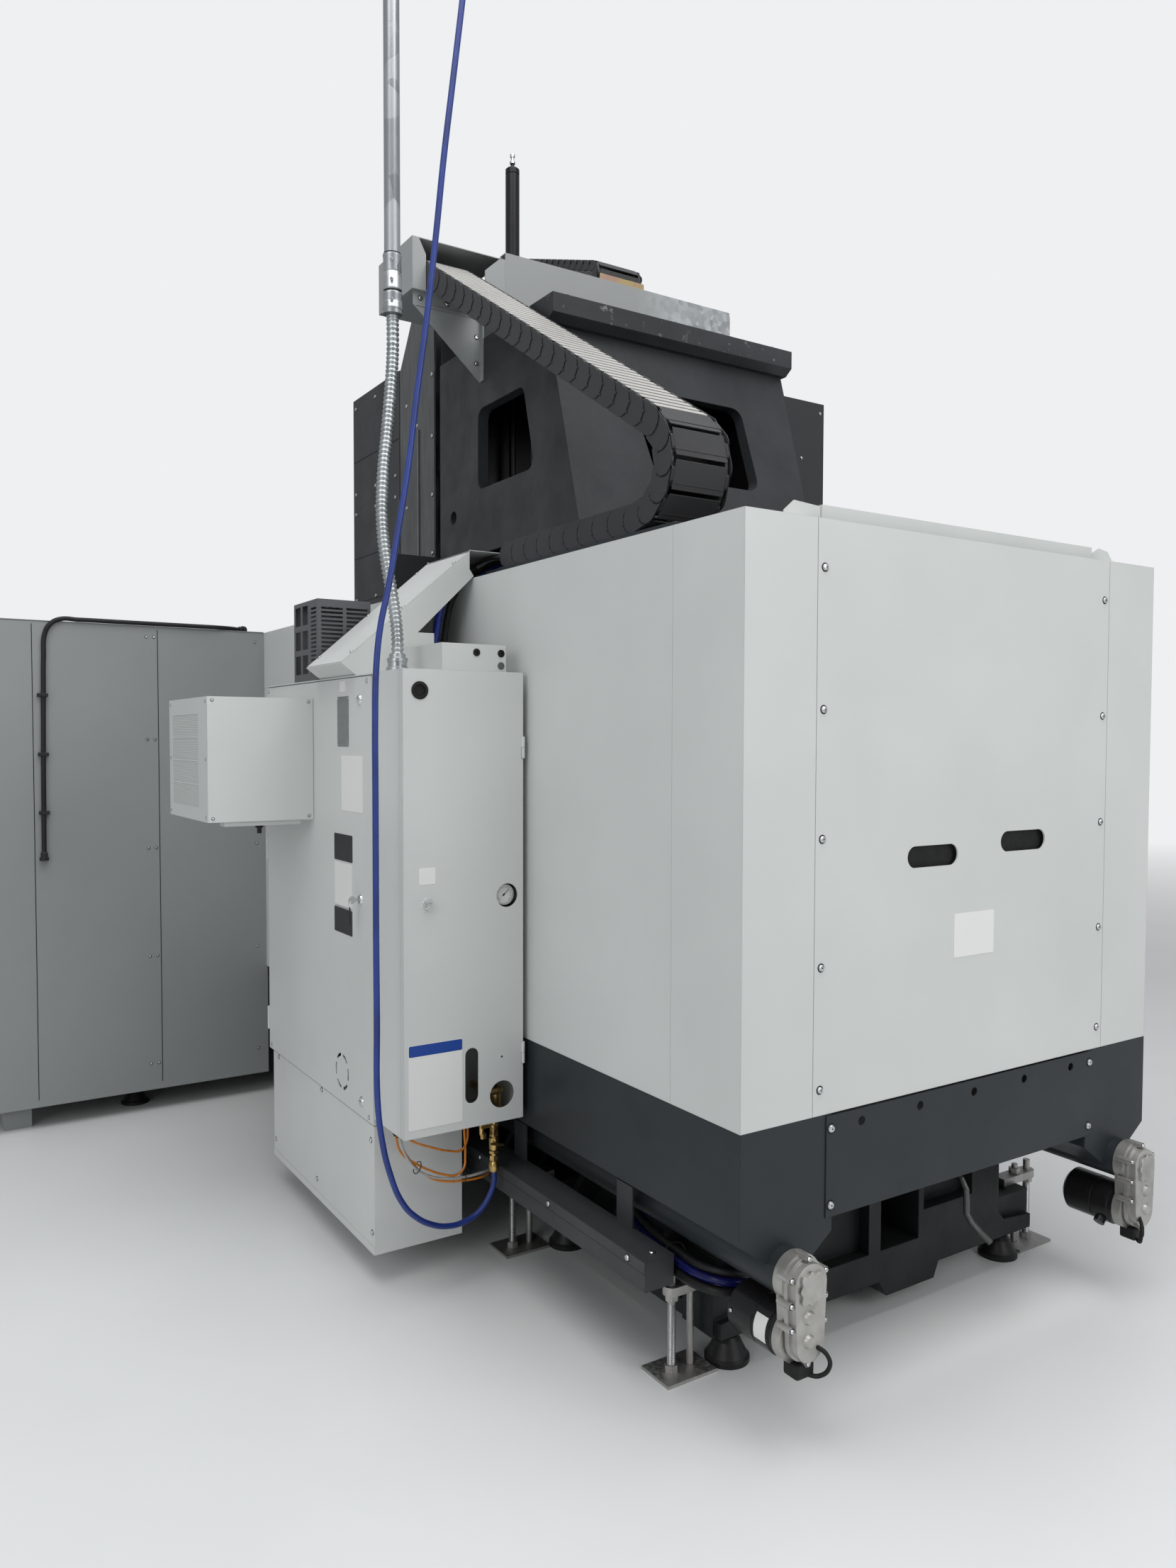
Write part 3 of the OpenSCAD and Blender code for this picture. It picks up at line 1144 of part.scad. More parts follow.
// Balance cylinder standing on the column, and the rod that hangs from it
module balance_cylinder() {
  color([0.07, 0.07, 0.08]) translate([cylinder_pos[0], cylinder_pos[1], 0]) difference() {
    union() {
      translate([0, 0, col_top]) cylinder(r = 45, h = 18);
      rotate_extrude() polygon([
        [0, col_top + 18], [cylinder_r, col_top + 18], [cylinder_r, 3640], [cylinder_r - 2, 3641],
        [cylinder_r - 2, 3644], [cylinder_r, 3645], [cylinder_r, 3662], [cylinder_r - 5, 3667],
        [7, 3667], [7, 3684], [0, 3684]
      ]);
    }
    translate([0, 0, col_top - 1]) cylinder(r = 12 + seat, h = 660);
  }
}
module balance_rod() {
  color(steel) translate([cylinder_pos[0], cylinder_pos[1], 0]) {
    translate([0, 0, 2230]) cylinder(r = 12, h = 1370);
  }
}

// Dark sheet cover round the upper travel of the head, open below and behind
cover_side_y = [cover_front_y, -1290];
module head_cover() {
  color(dark) {
    difference() {
      slab([-cover_x, cover_front_y, cover_low_z], [cover_x, cover_side_y[1], cover_top_z]);
      slab([-cover_x + 4, cover_front_y + 4, cover_low_z - 1],
        [cover_x - 4, cover_side_y[1] + 1, cover_top_z + 1]);
    }
    mirror_x() {
      slab([cover_x - 40, cover_side_y[1] - 4, cover_low_z], [cover_x, cover_side_y[1], cover_top_z]);
      slab([cover_x, cover_front_y + 10, cover_low_z + 30],
        [cover_x + 1.5, cover_side_y[1] - 10, cover_low_z + 33]);
    }
    // Shutter that closes the gap between the column and the side walls
    for (s = [-1, 1]) {
      top = s > 0 ? 2240 : mag_z[0] - 4;
      slab([s * 564 - 134, col_front_y - 34, cover_low_z - 72], [s * 564 + 134, col_front_y - 30, top]);
      slab([s * 450 - 20, col_front_y - 34, top - 40], [s * 450 + 20, col_front_y, top]);
    }
  }
}

// Grey side strips between the cover and the column, with a slanted upper corner
strip_top = 3190;
module way_strips() {
  color([0.42, 0.43, 0.44]) mirror_x() {
    side_profile([
      [cover_side_y[1], cover_low_z + 50], [-955, cover_low_z + 50], [-955, strip_top],
      [-1169, strip_top], [cover_side_y[1], 3014]
    ], cover_x - 5, 3);
    slab([cover_x - 60, -959, cover_low_z + 60], [cover_x - 4, -955, strip_top - 40]);
    for (z = [2290, 2580, 2870]) translate([cover_x - 34, -956, z]) rotate([-90, 0, 0])
      cylinder(r = 9, h = col_front_y + 956);
  }
  // Right side: the outer strip with its thin rail and screws
  color([0.42, 0.43, 0.44]) {
    slab([cover_x - 2, -1108, cover_low_z + 56], [cover_x + 2, -957, strip_top - 4]);
    translate([cover_x + 4, -1100, cover_low_z + 60]) cylinder(r = 5, h = 570);
    for (z = [2260, 2480, 2700, 2930, 3120]) translate([cover_x + 2, -975, z]) rotate([0, 90, 0])
      pan_screw(6, 3);
  }
}

// Tool magazine: a dark cover on the left side of the column
mag_x = [-1040, 2 - cover_x];
mag_y = [-1286, -470];
mag_z = [2092, 2940];
module magazine_cover() {
  color(dark) {
    difference() {
      slab([mag_x[0], mag_y[0], mag_z[0]], [mag_x[1], mag_y[1], mag_z[1]]);
      slab([mag_x[0] + 4, mag_y[0] + 4, mag_z[0] + 4], [mag_x[1] - 20, mag_y[1] - 4, mag_z[1] - 4]);
      slab([mag_x[1] - 190, mag_y[0] - 1, mag_z[0] + 60], [mag_x[1] - 30, mag_y[0] + 5, mag_z[0] + 320]);
      translate([mag_x[1] - 21, mag_center[1], mag_center[2]]) rotate([0, 90, 0])
        cylinder(r = 30 + seat, h = 22);
    }
    for (z = [2130, 2860]) slab([mag_x[1] - 1, -880, z], [-col_half_w, mag_y[1] - 20, z + 50]);
    slab([mag_x[0] + 30, mag_y[1], mag_z[0] + 60], [mag_x[0] + 80, mag_y[1] + 10, mag_z[0] + 90]);
  }
}

// Tool disc with its ring of pots, turning on a stub axle
disc_r = 300;
pots = 20;
module tool_disc() {
  color([0.5, 0.5, 0.52]) translate(mag_center) rotate([0, 90, 0]) {
    translate([0, 0, 60]) cylinder(r = disc_r, h = 18);
    translate([0, 0, -40]) cylinder(r = 70, h = 120);
    translate([0, 0, 60]) cylinder(r = 30, h = mag_x[1] - mag_center[0] - 60 - seat);
    for (k = [0:pots - 1]) rotate([0, 0, 360 / pots * k]) translate([disc_r + 20, 0, -60]) difference() {
      cylinder(r = 38, h = 140);
      translate([0, 0, -1]) cylinder(r1 = 30, r2 = 16, h = 90);
    }
  }
}

// Rails, ball screw and servo motor of the head on the front of the column
module head_drive() {
  color(steel) {
    for (s = [-1, 1]) translate([s * head_rail_x, col_front_y, 850]) rotate([0, 0, 180])
      linear_extrude(2060) rail_section(rail_w, 40);
    translate([0, screw_y, 900]) cylinder(r = 25, h = col_top - 900);
    for (z = [2740, 900]) slab([-150, screw_y - 40, z], [150, screw_y + 40, z + 60]);
  }
  color([0.12, 0.12, 0.13]) {
    slab([-85, screw_y - 85, col_top], [85, screw_y + 85, col_top + 20]);
    slab([-70, screw_y - 70, col_top + 20], [70, screw_y + 70, col_top + 235]);
  }
}

// Head casting on four runner blocks, with the round spindle nose and the mast
module head() {
  color([0.24, 0.25, 0.26]) {
    difference() {
      union() {
        side_profile([
          [head_back_y, head_low_z], [head_front_y + 160, head_low_z], [head_front_y, head_low_z + 140],
          [head_front_y, head_top_z - 260], [head_front_y + 240, head_top_z], [head_back_y, head_top_z]
        ], -head_half_w, 2 * head_half_w);
        translate([0, nose_y, spindle_z]) rotate([-90, 0, 0])
          cylinder(r1 = nose_r, r2 = nose_r + 60, h = head_front_y - nose_y);
        slab([-head_rail_x - 55, head_back_y - 30, head_low_z + 60],
          [head_rail_x + 55, head_back_y, head_top_z - 40]);
      }
      translate([0, nose_y - 1, spindle_z]) rotate([-90, 0, 0]) cylinder(r = spindle_r + run_gap, h = 500);
    }
    for (s = [-1, 1], z = [head_low_z + 150, head_top_z - 130]) difference() {
      slab([s * head_rail_x - 50, head_back_y - 1, z - 80],
        [s * head_rail_x + 50, col_front_y - 12, z + 80]);
      translate([s * head_rail_x, col_front_y, z - 81]) rotate([0, 0, 180])
        linear_extrude(162) offset(delta = run_gap) rail_section(rail_w, 40);
    }
    // Nut bracket round the ball screw, with the arm that holds the balance rod
    difference() {
      union() {
        slab([-60, head_back_y - 1, spindle_z + 80], [60, screw_y + 42, 2232]);
        slab([-60, screw_y + 41, 2190], [cylinder_pos[0] + 30, cylinder_pos[1] + 30, 2232]);
      }
      translate([0, screw_y, spindle_z + 79]) cylinder(r = 25 + run_gap, h = 500);
      translate([cylinder_pos[0], cylinder_pos[1], 2230]) cylinder(r = 12, h = 4);
    }
    // Mast and sloping cradle that carry the free end of the top chain
    slab([-180, -1560, head_top_z - 1], [-40, -1500, under_top_chain(-1530) - 8]);
    side_profile([
      [-1615, under_top_chain(-1615) - 1], [-1490, under_top_chain(-1490) - 1],
      [-1490, under_top_chain(-1490) - 9], [-1615, under_top_chain(-1615) - 9]
    ], top_chain_x - 6, top_chain_w + 12);
  }
}

// Spindle with its taper and drive keys
module spindle() {
  color([0.72, 0.72, 0.74]) translate([0, nose_y - 24, spindle_z]) rotate([-90, 0, 0]) difference() {
    union() {
      cylinder(r = spindle_r, h = 380);
      cylinder(r = spindle_r + 4, h = 20);
    }
    translate([0, 0, -1]) cylinder(r1 = 35, r2 = 20, h = 102);
    for (s = [-1, 1]) translate([s * 50, 0, 0]) cube([12, 20, 16], center = true);
  }
}

// Table carriage that crosses the front leg of the bed
carriage_z = [table_rail_top + 8, 790];
carriage_half = [330, 300];
module table_carriage() {
  color([0.30, 0.31, 0.32]) {
    difference() {
      slab([-carriage_half[0], table_y - carriage_half[1], carriage_z[0]],
        [carriage_half[0], table_y + carriage_half[1], carriage_z[1]]);
      translate([0, table_y, carriage_z[1] - 40]) cylinder(r = table_r - 60 + seat, h = 41);
    }
    for (sx = [-1, 1], sy = [-1, 1]) difference() {
      slab([sx * 230 - 70, table_y + sy * table_rail_dy - 48, cross_top + 10],
        [sx * 230 + 70, table_y + sy * table_rail_dy + 48, carriage_z[0] + 1]);
      translate([sx * 230 - 71, table_y + sy * table_rail_dy, cross_top]) rotate([90, 0, 90])
        linear_extrude(142) offset(delta = run_gap) rail_section(rail_w, rail_w);
    }
  }
}

// Rotary table with its square pallet, drilled in a grid and T-slotted
module rotary_table() {
  z0 = carriage_z[1] + seat;
  color([0.45, 0.46, 0.47]) difference() {
    union() {
      translate([0, table_y, carriage_z[1] - 39]) cylinder(r = table_r - 60, h = 40);
      translate([0, table_y, z0]) cylinder(r = table_r, h = 70, $fn = 96);
      translate([-pallet / 2, table_y - pallet / 2, z0 + 70]) cube([pallet, pallet, 70]);
    }
    for (x = [-2:2], y = [-2:2]) translate([x * 100, table_y + y * 100, z0 + 110])
      cylinder(r = 9, h = 40, $fn = 24);
  }
}

// Sliding operator door with its window and handle, on rails outside the front wall
module front_door() {
  color(light) {
    difference() {
      slab([-door_half_w, door_y, opening_z - 40], [door_half_w, front_y - 8, front_top - 30]);
      slab([-door_half_w + 4, door_y + 4, opening_z - 36], [door_half_w - 4, front_y - 7, front_top - 34]);
      slab([-door_half_w + 130, door_y - 1, opening_z + 160],
        [door_half_w - 130, door_y + 5, front_top - 170]);
    }
    slab([-door_half_w + 40, door_y - 50, 1300], [-door_half_w + 70, door_y - 38, 1620]);
    for (z = [1310, 1590]) slab([-door_half_w + 45, door_y - 40, z], [-door_half_w + 65, door_y, z + 20]);
  }
}
module door_window() {
  color([0.3, 0.35, 0.4, 0.5])
    slab([-door_half_w + 110, door_y + 4, opening_z + 140],
      [door_half_w - 110, door_y + 14, front_top - 150]);
}

// Operator pendant on a swinging arm at the right of the door
module pendant() {
  color([0.30, 0.31, 0.33]) {
    difference() {
      union() {
        translate([pendant_pivot[0], pendant_pivot[1], 1850]) cylinder(r = 28, h = 90);
        slab([pendant_pivot[0] - 22, pendant_pivot[1] - 220, 1900],
          [pendant_pivot[0] + 22, pendant_pivot[1], 1936]);
      }
      translate([pendant_pivot[0], pendant_pivot[1], 1849]) cylinder(r = 14 + run_gap, h = 92);
    }
    slab([pendant_pivot[0] - 22, pendant_pivot[1] - 220, 1650],
      [pendant_pivot[0] + 22, pendant_pivot[1] - 180, 1936]);
  }
  color([0.75, 0.76, 0.76]) difference() {
    side_profile([
      [pendant_pivot[1] - 290, 1080], [pendant_pivot[1] - 170, 1080], [pendant_pivot[1] - 150, 1120],
      [pendant_pivot[1] - 150, 1650], [pendant_pivot[1] - 260, 1650], [pendant_pivot[1] - 270, 1250]
    ], pendant_pivot[0] - 230, 460);
    slab([pendant_pivot[0] - 180, pendant_pivot[1] - 300, 1310],
      [pendant_pivot[0] + 180, pendant_pivot[1] - 262, 1610]);
    translate(stop_pos) rotate([90, 0, 0]) cylinder(r = 12 + seat, h = 60, center = true);
    translate(knob_pos) rotate([90, 0, 0]) cylinder(r = 7 + seat, h = 60, center = true);
  }
}
stop_pos = [pendant_pivot[0] + 160, pendant_pivot[1] - 280, 1190];
knob_pos = [pendant_pivot[0] + 60, pendant_pivot[1] - 280, 1190];
module stop_button() {
  color([0.75, 0.08, 0.06]) translate(stop_pos) rotate([90, 0, 0]) {
    translate([0, 0, -20]) cylinder(r = 12, h = 36);
    translate([0, 0, 16]) cylinder(r1 = 22, r2 = 18, h = 16);
  }
}
module feed_knob() {
  color([0.10, 0.10, 0.11]) translate(knob_pos) rotate([90, 0, 0]) {
    translate([0, 0, -20]) cylinder(r = 7, h = 36);
    translate([0, 0, 13]) cylinder(r = 18, h = 18, $fn = 24);
    translate([0, 12, 31]) cube([3, 12, 3], center = true);
  }
}

bed();
levelling_pads();
anchor_plates();
anchor_clamps();
linear_rails();
drain_tube();
rear_panel();
corner_guard_right();
corner_guard_left();
side_guard_right();
side_guard_left();
guard_top_rail();
skirt_right();
skirt_left();
skirt_rear();
auger_right();
auger_left();
auger_gearboxes();
auger_motors();
raceway();
chain_tray();
energy_chain();
elec_cabinet();
elec_door();
door_locks();
cooler();
resistor_cage();
cable_duct();
lube_cabinet();
lube_door();
pressure_gauge();
air_coupling();
lube_pump();
front_enclosure();
enclosure_sides();
wall_cable();
air_hose();
supply_conduit();
conduit_tube();
column();
cable_trough();
tray_panel();
top_chain();
balance_cylinder();
balance_rod();
head_cover();
way_strips();
magazine_cover();
tool_disc();
head_drive();
head();
spindle();
table_carriage();
rotary_table();
front_door();
door_window();
pendant();
stop_button();
feed_knob();
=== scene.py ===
from math import cos, hypot, pi, radians, sin

import bpy
from mathutils import Matrix, Vector


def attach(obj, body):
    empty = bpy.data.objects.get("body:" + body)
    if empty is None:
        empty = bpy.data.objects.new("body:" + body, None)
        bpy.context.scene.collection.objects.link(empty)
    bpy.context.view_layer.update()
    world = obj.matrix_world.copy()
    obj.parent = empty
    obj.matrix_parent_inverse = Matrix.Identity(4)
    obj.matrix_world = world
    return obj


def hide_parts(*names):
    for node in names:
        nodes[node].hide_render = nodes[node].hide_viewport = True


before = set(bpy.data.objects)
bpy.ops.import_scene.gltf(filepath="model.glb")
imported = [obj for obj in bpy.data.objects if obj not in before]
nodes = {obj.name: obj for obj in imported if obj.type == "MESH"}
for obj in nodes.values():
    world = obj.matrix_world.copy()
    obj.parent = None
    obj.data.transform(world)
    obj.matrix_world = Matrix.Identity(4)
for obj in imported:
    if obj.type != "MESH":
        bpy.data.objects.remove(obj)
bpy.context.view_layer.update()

# Camera: stands behind the machine on the operator's right, at eye height, and
# looks forward and to the left. The lens belongs to the 1659 x 2212 px frame.
camera_place = (2.32, 2.945, 1.55)
camera_turn = radians(147.178)
camera_tilt = radians(87.769)
camera_roll = radians(0.144)
focal_px = 1578.77
frame_height_px = 2212
sensor = 36.0

lens_data = bpy.data.cameras.new("camera")
lens_data.sensor_fit = "VERTICAL"
lens_data.sensor_height = sensor
lens_data.lens = focal_px / frame_height_px * sensor
lens_data.clip_end = 60
camera = bpy.data.objects.new("camera", lens_data)
bpy.context.collection.objects.link(camera)
camera.matrix_world = (
    Matrix.Translation(camera_place)
    @ Matrix.Rotation(camera_turn, 4, "Z")
    @ Matrix.Rotation(camera_tilt, 4, "X")
    @ Matrix.Rotation(camera_roll, 4, "Z")
)
bpy.context.scene.camera = camera


# Air hose: blue braided hose of 16 mm, which hangs from overhead, runs down beside
# the cabinets, swings under them in a loop and rises into the brass coupling.
upward = (0, 0, 1)
same_place = 0.00001


def add_node(tree, kind, sockets, **settings):
    """A new node, its sockets set to values or linked to other sockets."""
    node = tree.nodes.new("ShaderNode" + kind)
    for key, value in settings.items():
        setattr(node, key, value)
    for key, value in sockets.items():
        if isinstance(value, bpy.types.NodeSocket):
            tree.links.new(value, node.inputs[key])
        else:
            node.inputs[key].default_value = value
    return node


class Surface:
    """A new material, its shader, and the patterns that drive it."""

    def __init__(self, name, colour, rough, metallic=0.0):
        self.material = bpy.data.materials.new(name)
        self.material.use_nodes = True
        self.tree = self.material.node_tree
        self.shader = self.tree.nodes["Principled BSDF"]
        for socket, value in (
            ("Base Color", (*colour, 1)), ("Roughness", rough), ("Metallic", metallic),
            ("Specular IOR Level", 0.28 if max(colour) < 0.12 else 0.5),
        ):
            self.shader.inputs[socket].default_value = value
        self.place = self.node("TexCoord", {}).outputs["Object"]

    def node(self, kind, sockets, **settings):
        return add_node(self.tree, kind, sockets, **settings)

    def drive(self, socket, value):
        self.tree.links.new(value, self.shader.inputs[socket])

    def noise(self, scale, detail=3.0, rough=0.5, place=None):
        sockets = {"Scale": scale, "Detail": detail, "Roughness": rough, "Vector": place or self.place}
        return self.node("TexNoise", sockets).outputs["Fac"]

    def spread(self, value, low, high, at=(0.3, 0.7)):
        """Carries a pattern from its own range to the range low to high."""
        sockets = {"From Min": at[0], "From Max": at[1], "To Min": low, "To Max": high, "Value": value}
        return self.node("MapRange", sockets).outputs["Result"]

    def blend(self, value, *colours):
        """Two colours, each fixed or from a node, mixed by a pattern."""
        a, b = (c if isinstance(c, bpy.types.NodeSocket) else (*c, 1) for c in colours)
        return self.node("Mix", {"Factor": value, "A": a, "B": b}, data_type="RGBA").outputs["Result"]

    def math(self, operation, *values):
        return self.node("Math", dict(enumerate(values)), operation=operation).outputs["Value"]

    def colour(self, pattern, first, second, at=(0.3, 0.7)):
        self.drive("Base Color", self.blend(self.spread(pattern, 0, 1, at), first, second))

    def colour_now(self):
        return self.shader.inputs["Base Color"].links[0].from_socket

    def rough(self, pattern, low, high, at=(0.3, 0.7)):
        self.drive("Roughness", self.spread(pattern, low, high, at))

    def relief(self, pattern, strength, depth, edge=0.0):
        """Bump from a pattern, over edges that are rounded by the given radius."""
        sockets = {"Strength": strength, "Distance": depth, "Height": pattern}
        if edge:
            sockets["Normal"] = self.node("Bevel", {"Radius": edge}, samples=3).outputs["Normal"]
        self.drive("Normal", self.node("Bump", sockets).outputs["Normal"])


def tint(colour, factor):
    return tuple(min(1.0, c * factor) for c in colour)


def hose_rubber(name, colour, rough=0.38):
    skin = Surface(name, colour, rough)
    skin.colour(skin.noise(9), tint(colour, 0.8), tint(colour, 1.25))
    skin.rough(skin.noise(40), rough - 0.06, rough + 0.12)
    skin.relief(skin.noise(420), 0.12, 0.0006)
    return skin.material


def mesh_piece(name, verts, edges, faces):
    """A new piece of the given mesh, alone in the selection."""
    data = bpy.data.meshes.new(name)
    data.from_pydata(verts, edges, faces)
    piece = bpy.data.objects.new(name, data)
    bpy.context.collection.objects.link(piece)
    bpy.ops.object.select_all(action="DESELECT")
    bpy.context.view_layer.objects.active = piece
    piece.select_set(True)
    return piece


def face_outwards(merge=0.0):
    """Turns the faces of the active piece outwards, its doubled corners merged."""
    bpy.ops.object.mode_set(mode="EDIT")
    bpy.ops.mesh.select_all(action="SELECT")
    if merge:
        bpy.ops.mesh.remove_doubles(threshold=merge)
    bpy.ops.mesh.normals_make_consistent(inside=False)
    bpy.ops.object.mode_set(mode="OBJECT")


def smooth_active():
    bpy.ops.object.shade_smooth_by_angle(angle=radians(35))


def facing(axis, places):
    """Matrices that stand a piece at each place, its own Z along axis."""
    turn = Vector(upward).rotation_difference(Vector(axis)).to_matrix().to_4x4()
    return [Matrix.Translation(place) @ turn for place in places]


def finish(piece, material, body):
    """Gives a piece its material and the body it rides on, where these are named."""
    if material:
        piece.data.materials.append(material)
    if body:
        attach(piece, body)
    return piece


def hose_curve(name, points, radius, material, body="frame", sides=4):
    """A round hose along points in metres, as one curve that passes through them."""
    data = bpy.data.curves.new(name, "CURVE")
    data.dimensions = "3D"
    data.bevel_depth = radius
    data.bevel_resolution = sides
    data.use_fill_caps = True
    data.resolution_u = 8
    line = data.splines.new("BEZIER")
    line.bezier_points.add(len(points) - 1)
    for knot, point in zip(line.bezier_points, points):
        knot.co = point
        knot.handle_left_type = knot.handle_right_type = "AUTO"
    piece = bpy.data.objects.new(name, data)
    bpy.context.collection.objects.link(piece)
    return finish(piece, material, body)


def turned(name, profile, place, axis, material, body="frame", sides=32):
    """A turned piece: profile is (radius, distance) pairs from its foot along axis."""
    edges = [(i, i + 1) for i in range(len(profile) - 1)]
    piece = mesh_piece(name, [(r, 0, h) for r, h in profile], edges, [])
    lathe = piece.modifiers.new("lathe", "SCREW")
    lathe.steps = lathe.render_steps = sides
    lathe.use_merge_vertices = True
    lathe.merge_threshold = same_place
    bpy.ops.object.modifier_apply(modifier="lathe")
    piece.data.transform(facing(axis, [place])[0])
    face_outwards(same_place)
    smooth_active()
    return finish(piece, material, body)


hose_blue = hose_rubber("hose_blue", (0.012, 0.032, 0.19))
brass_skin = Surface("brass", (0.6, 0.42, 0.16), 0.28, 1.0)
brass_skin.colour(brass_skin.noise(60), (0.66, 0.47, 0.19), (0.38, 0.25, 0.1))
brass_skin.relief(brass_skin.noise(300), 0.1, 0.0004, 0.001)
brass = brass_skin.material

hose_points = [
    (0.968, 0.27, 3.61), (0.987, 0.27, 3.462), (1.014, 0.27, 3.256), (1.041, 0.27, 3.05),
    (1.064, 0.27, 2.846), (1.089, 0.27, 2.643), (1.118, 0.27, 2.439), (1.145, 0.27, 2.237),
    (1.173, 0.27, 2.076), (1.199, 0.27, 1.935), (1.221, 0.27, 1.835), (1.232, 0.27, 1.736),
    (1.236, 0.27, 1.59), (1.236, 0.27, 1.438), (1.236, 0.27, 1.24), (1.236, 0.27, 1.038),
    (1.235, 0.27, 0.83), (1.234, 0.268, 0.633), (1.218, 0.255, 0.522), (1.189, 0.24, 0.416),
    (1.146, 0.22, 0.322), (1.097, 0.2, 0.264), (1.044, 0.185, 0.226), (0.99, 0.172, 0.204),
    (0.932, 0.16, 0.199), (0.882, 0.152, 0.214), (0.848, 0.15, 0.252), (0.834, 0.15, 0.29),
    (0.834, 0.15, 0.318),
]
air_hose = hose_curve("air_hose_tube", list(reversed(hose_points)), 0.008, hose_blue, sides=6)
hose_end = turned(
    "air_hose_ceiling_end",
    [(0.0, 0), (0.0105, 0), (0.0105, 0.028), (0.007, 0.03), (0.007, 0.036), (0.012, 0.038), (0.012, 0.052),
     (0, 0.052)],
    (0.97, 0.27, 3.592), (-0.12, 0, 1), brass,
)
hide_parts("air_hose")

# Supply conduit: interlocked galvanised strip, wound with a rib every 12 mm, from
# its hub on the roof of the small cabinet up to the coupling of the straight tube.
conduit_points = [
    (1.1, 0.095, 1.776), (1.1, 0.095, 1.83), (1.106, 0.095, 1.89), (1.116, 0.095, 1.95),
    (1.129, 0.095, 2.02), (1.139, 0.095, 2.09), (1.143, 0.095, 2.17), (1.138, 0.095, 2.273),
    (1.127, 0.095, 2.379), (1.117, 0.095, 2.485), (1.11, 0.095, 2.589), (1.11, 0.095, 2.69),
]
conduit_radius = 0.017
rib_pitch = 0.012
rearward = (0, 1, 0)


def zinc(name, colour, rough, spangle, metallic=0.85):
    """Zinc coating: patches of crystals that catch the light differently."""
    skin = Surface(name, colour, rough, metallic)
    cells = skin.node("TexVoronoi", {"Scale": spangle, "Vector": skin.place})
    grey = skin.node("RGBToBW", {"Color": cells.outputs["Color"]}).outputs["Val"]
    skin.colour(grey, tint(colour, 0.8), tint(colour, 1.15), (0, 1))
    skin.rough(grey, rough - 0.08, rough + 0.12, (0, 1))
    skin.relief(skin.noise(120), 0.08, 0.0005, 0.001)
    return skin


def smooth_route(points, step):
    """Evenly spaced points along a smooth curve through the given ones."""
    found = []
    for i in range(len(points) - 1):
        p0, p1, p2, p3 = (Vector(points[min(max(k, 0), len(points) - 1)]) for k in (i - 1, i, i + 1, i + 2))
        count = max(1, round((p2 - p1).length / step))
        for k in range(count):
            t = k / count
            found.append(0.5 * (
                2 * p1 + (p2 - p0) * t + (2 * p0 - 5 * p1 + 4 * p2 - p3) * t * t
                + (3 * p1 - p0 - 3 * p2 + p3) * t**3
            ))
    found.append(Vector(points[-1]))
    return found


def ribbed_hose(name, points, radius, rib, pitch, material, body="frame", sides=20):
    """A hose whose wall rises into a rib once every pitch."""
    route = smooth_route(points, pitch / 4)
    verts, faces = [], []
    for i, point in enumerate(route):
        along = (route[min(i + 1, len(route) - 1)] - route[max(i - 1, 0)]).normalized()
        side = along.cross(Vector(rearward)).normalized()
        up = along.cross(side)
        r = radius - rib * (0.0, 0.18, 1.0, 0.18)[i % 4]
        verts += [
            point + r * (cos(a) * side + sin(a) * up) for a in (2 * pi * k / sides for k in range(sides))
        ]
    for i in range(len(route) - 1):
        for k in range(sides):
            a, b = i * sides + k, i * sides + (k + 1) % sides
            faces.append((a, b, b + sides, a + sides))
    faces.append(tuple(range(sides))[::-1])
    faces.append(tuple((len(route) - 1) * sides + k for k in range(sides)))
    piece = mesh_piece(name, verts, [], faces)
    piece.data.polygons.foreach_set("use_smooth", [True] * len(faces))
    face_outwards()
    return finish(piece, material, body), [tuple(p) for p in route[::4]]


conduit_zinc = zinc("conduit_zinc", (0.4, 0.42, 0.43), 0.3, 30).material
conduit, conduit_route = ribbed_hose(
    "supply_conduit_hose", conduit_points, conduit_radius, 0.0042, rib_pitch, conduit_zinc,
)
conduit_hub = turned(
    "supply_conduit_hub",
    [(0, 0), (0.03, 0), (0.03, 0.01), (0.026, 0.012), (0.026, 0.024), (0.028, 0.025), (0.028, 0.034),
     (0.022, 0.038), (0.022, 0.046), (0, 0.046)],
    (1.1, 0.095, 1.7371), upward, conduit_zinc,
)
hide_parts("supply_conduit")

# Coupling of the straight tube: a sleeve with a bead at each end and two set
# screws, and the clamp connector that grips the ribbed conduit under it.
# Near black: painted shade in slots, holes and recesses, and the real black of gaps, seams, joints and the
# gauge's ticks and pointer.
slot_black = hose_rubber("slot_black", (0.004, 0.004, 0.004), 0.7)
tube_zinc = zinc("tube_zinc", (0.42, 0.44, 0.46), 0.3, 14).material
tube_x, tube_y = 1.11, 0.095
screw_x, screw_y = 0.45, 0.89
for name, low, tall, r in (("tube_sleeve", 2.752, 0.096, 0.0243), ("tube_clamp", 2.7, 0.046, 0.0262)):
    turned(
        name,
        [(0.0205, 0), (r - 0.001, 0.0), (r + 0.0012, 0.002), (r + 0.0012, 0.006), (r, 0.008),
         (r, tall / 2 - 0.002), (r - 0.0012, tall / 2), (r, tall / 2 + 0.002), (r, tall - 0.008),
         (r + 0.0012, tall - 0.006), (r + 0.0012, tall - 0.002), (r - 0.001, tall), (0.0205, tall),
         (0.0205, 0)],
        (tube_x, tube_y, low), upward, tube_zinc,
    )
for i, z in enumerate((2.775, 2.826, 2.722)):
    turned(
        f"tube_set_screw_{i}",
        [(0, 0), (0.0045, 0), (0.0045, 0.006), (0.0035, 0.007), (0.002, 0.007), (0.002, 0.005), (0, 0.005)],
        (tube_x + 0.0235 * screw_x, tube_y + 0.0235 * screw_y, z), (screw_x, screw_y, 0), tube_zinc, sides=16,
    )
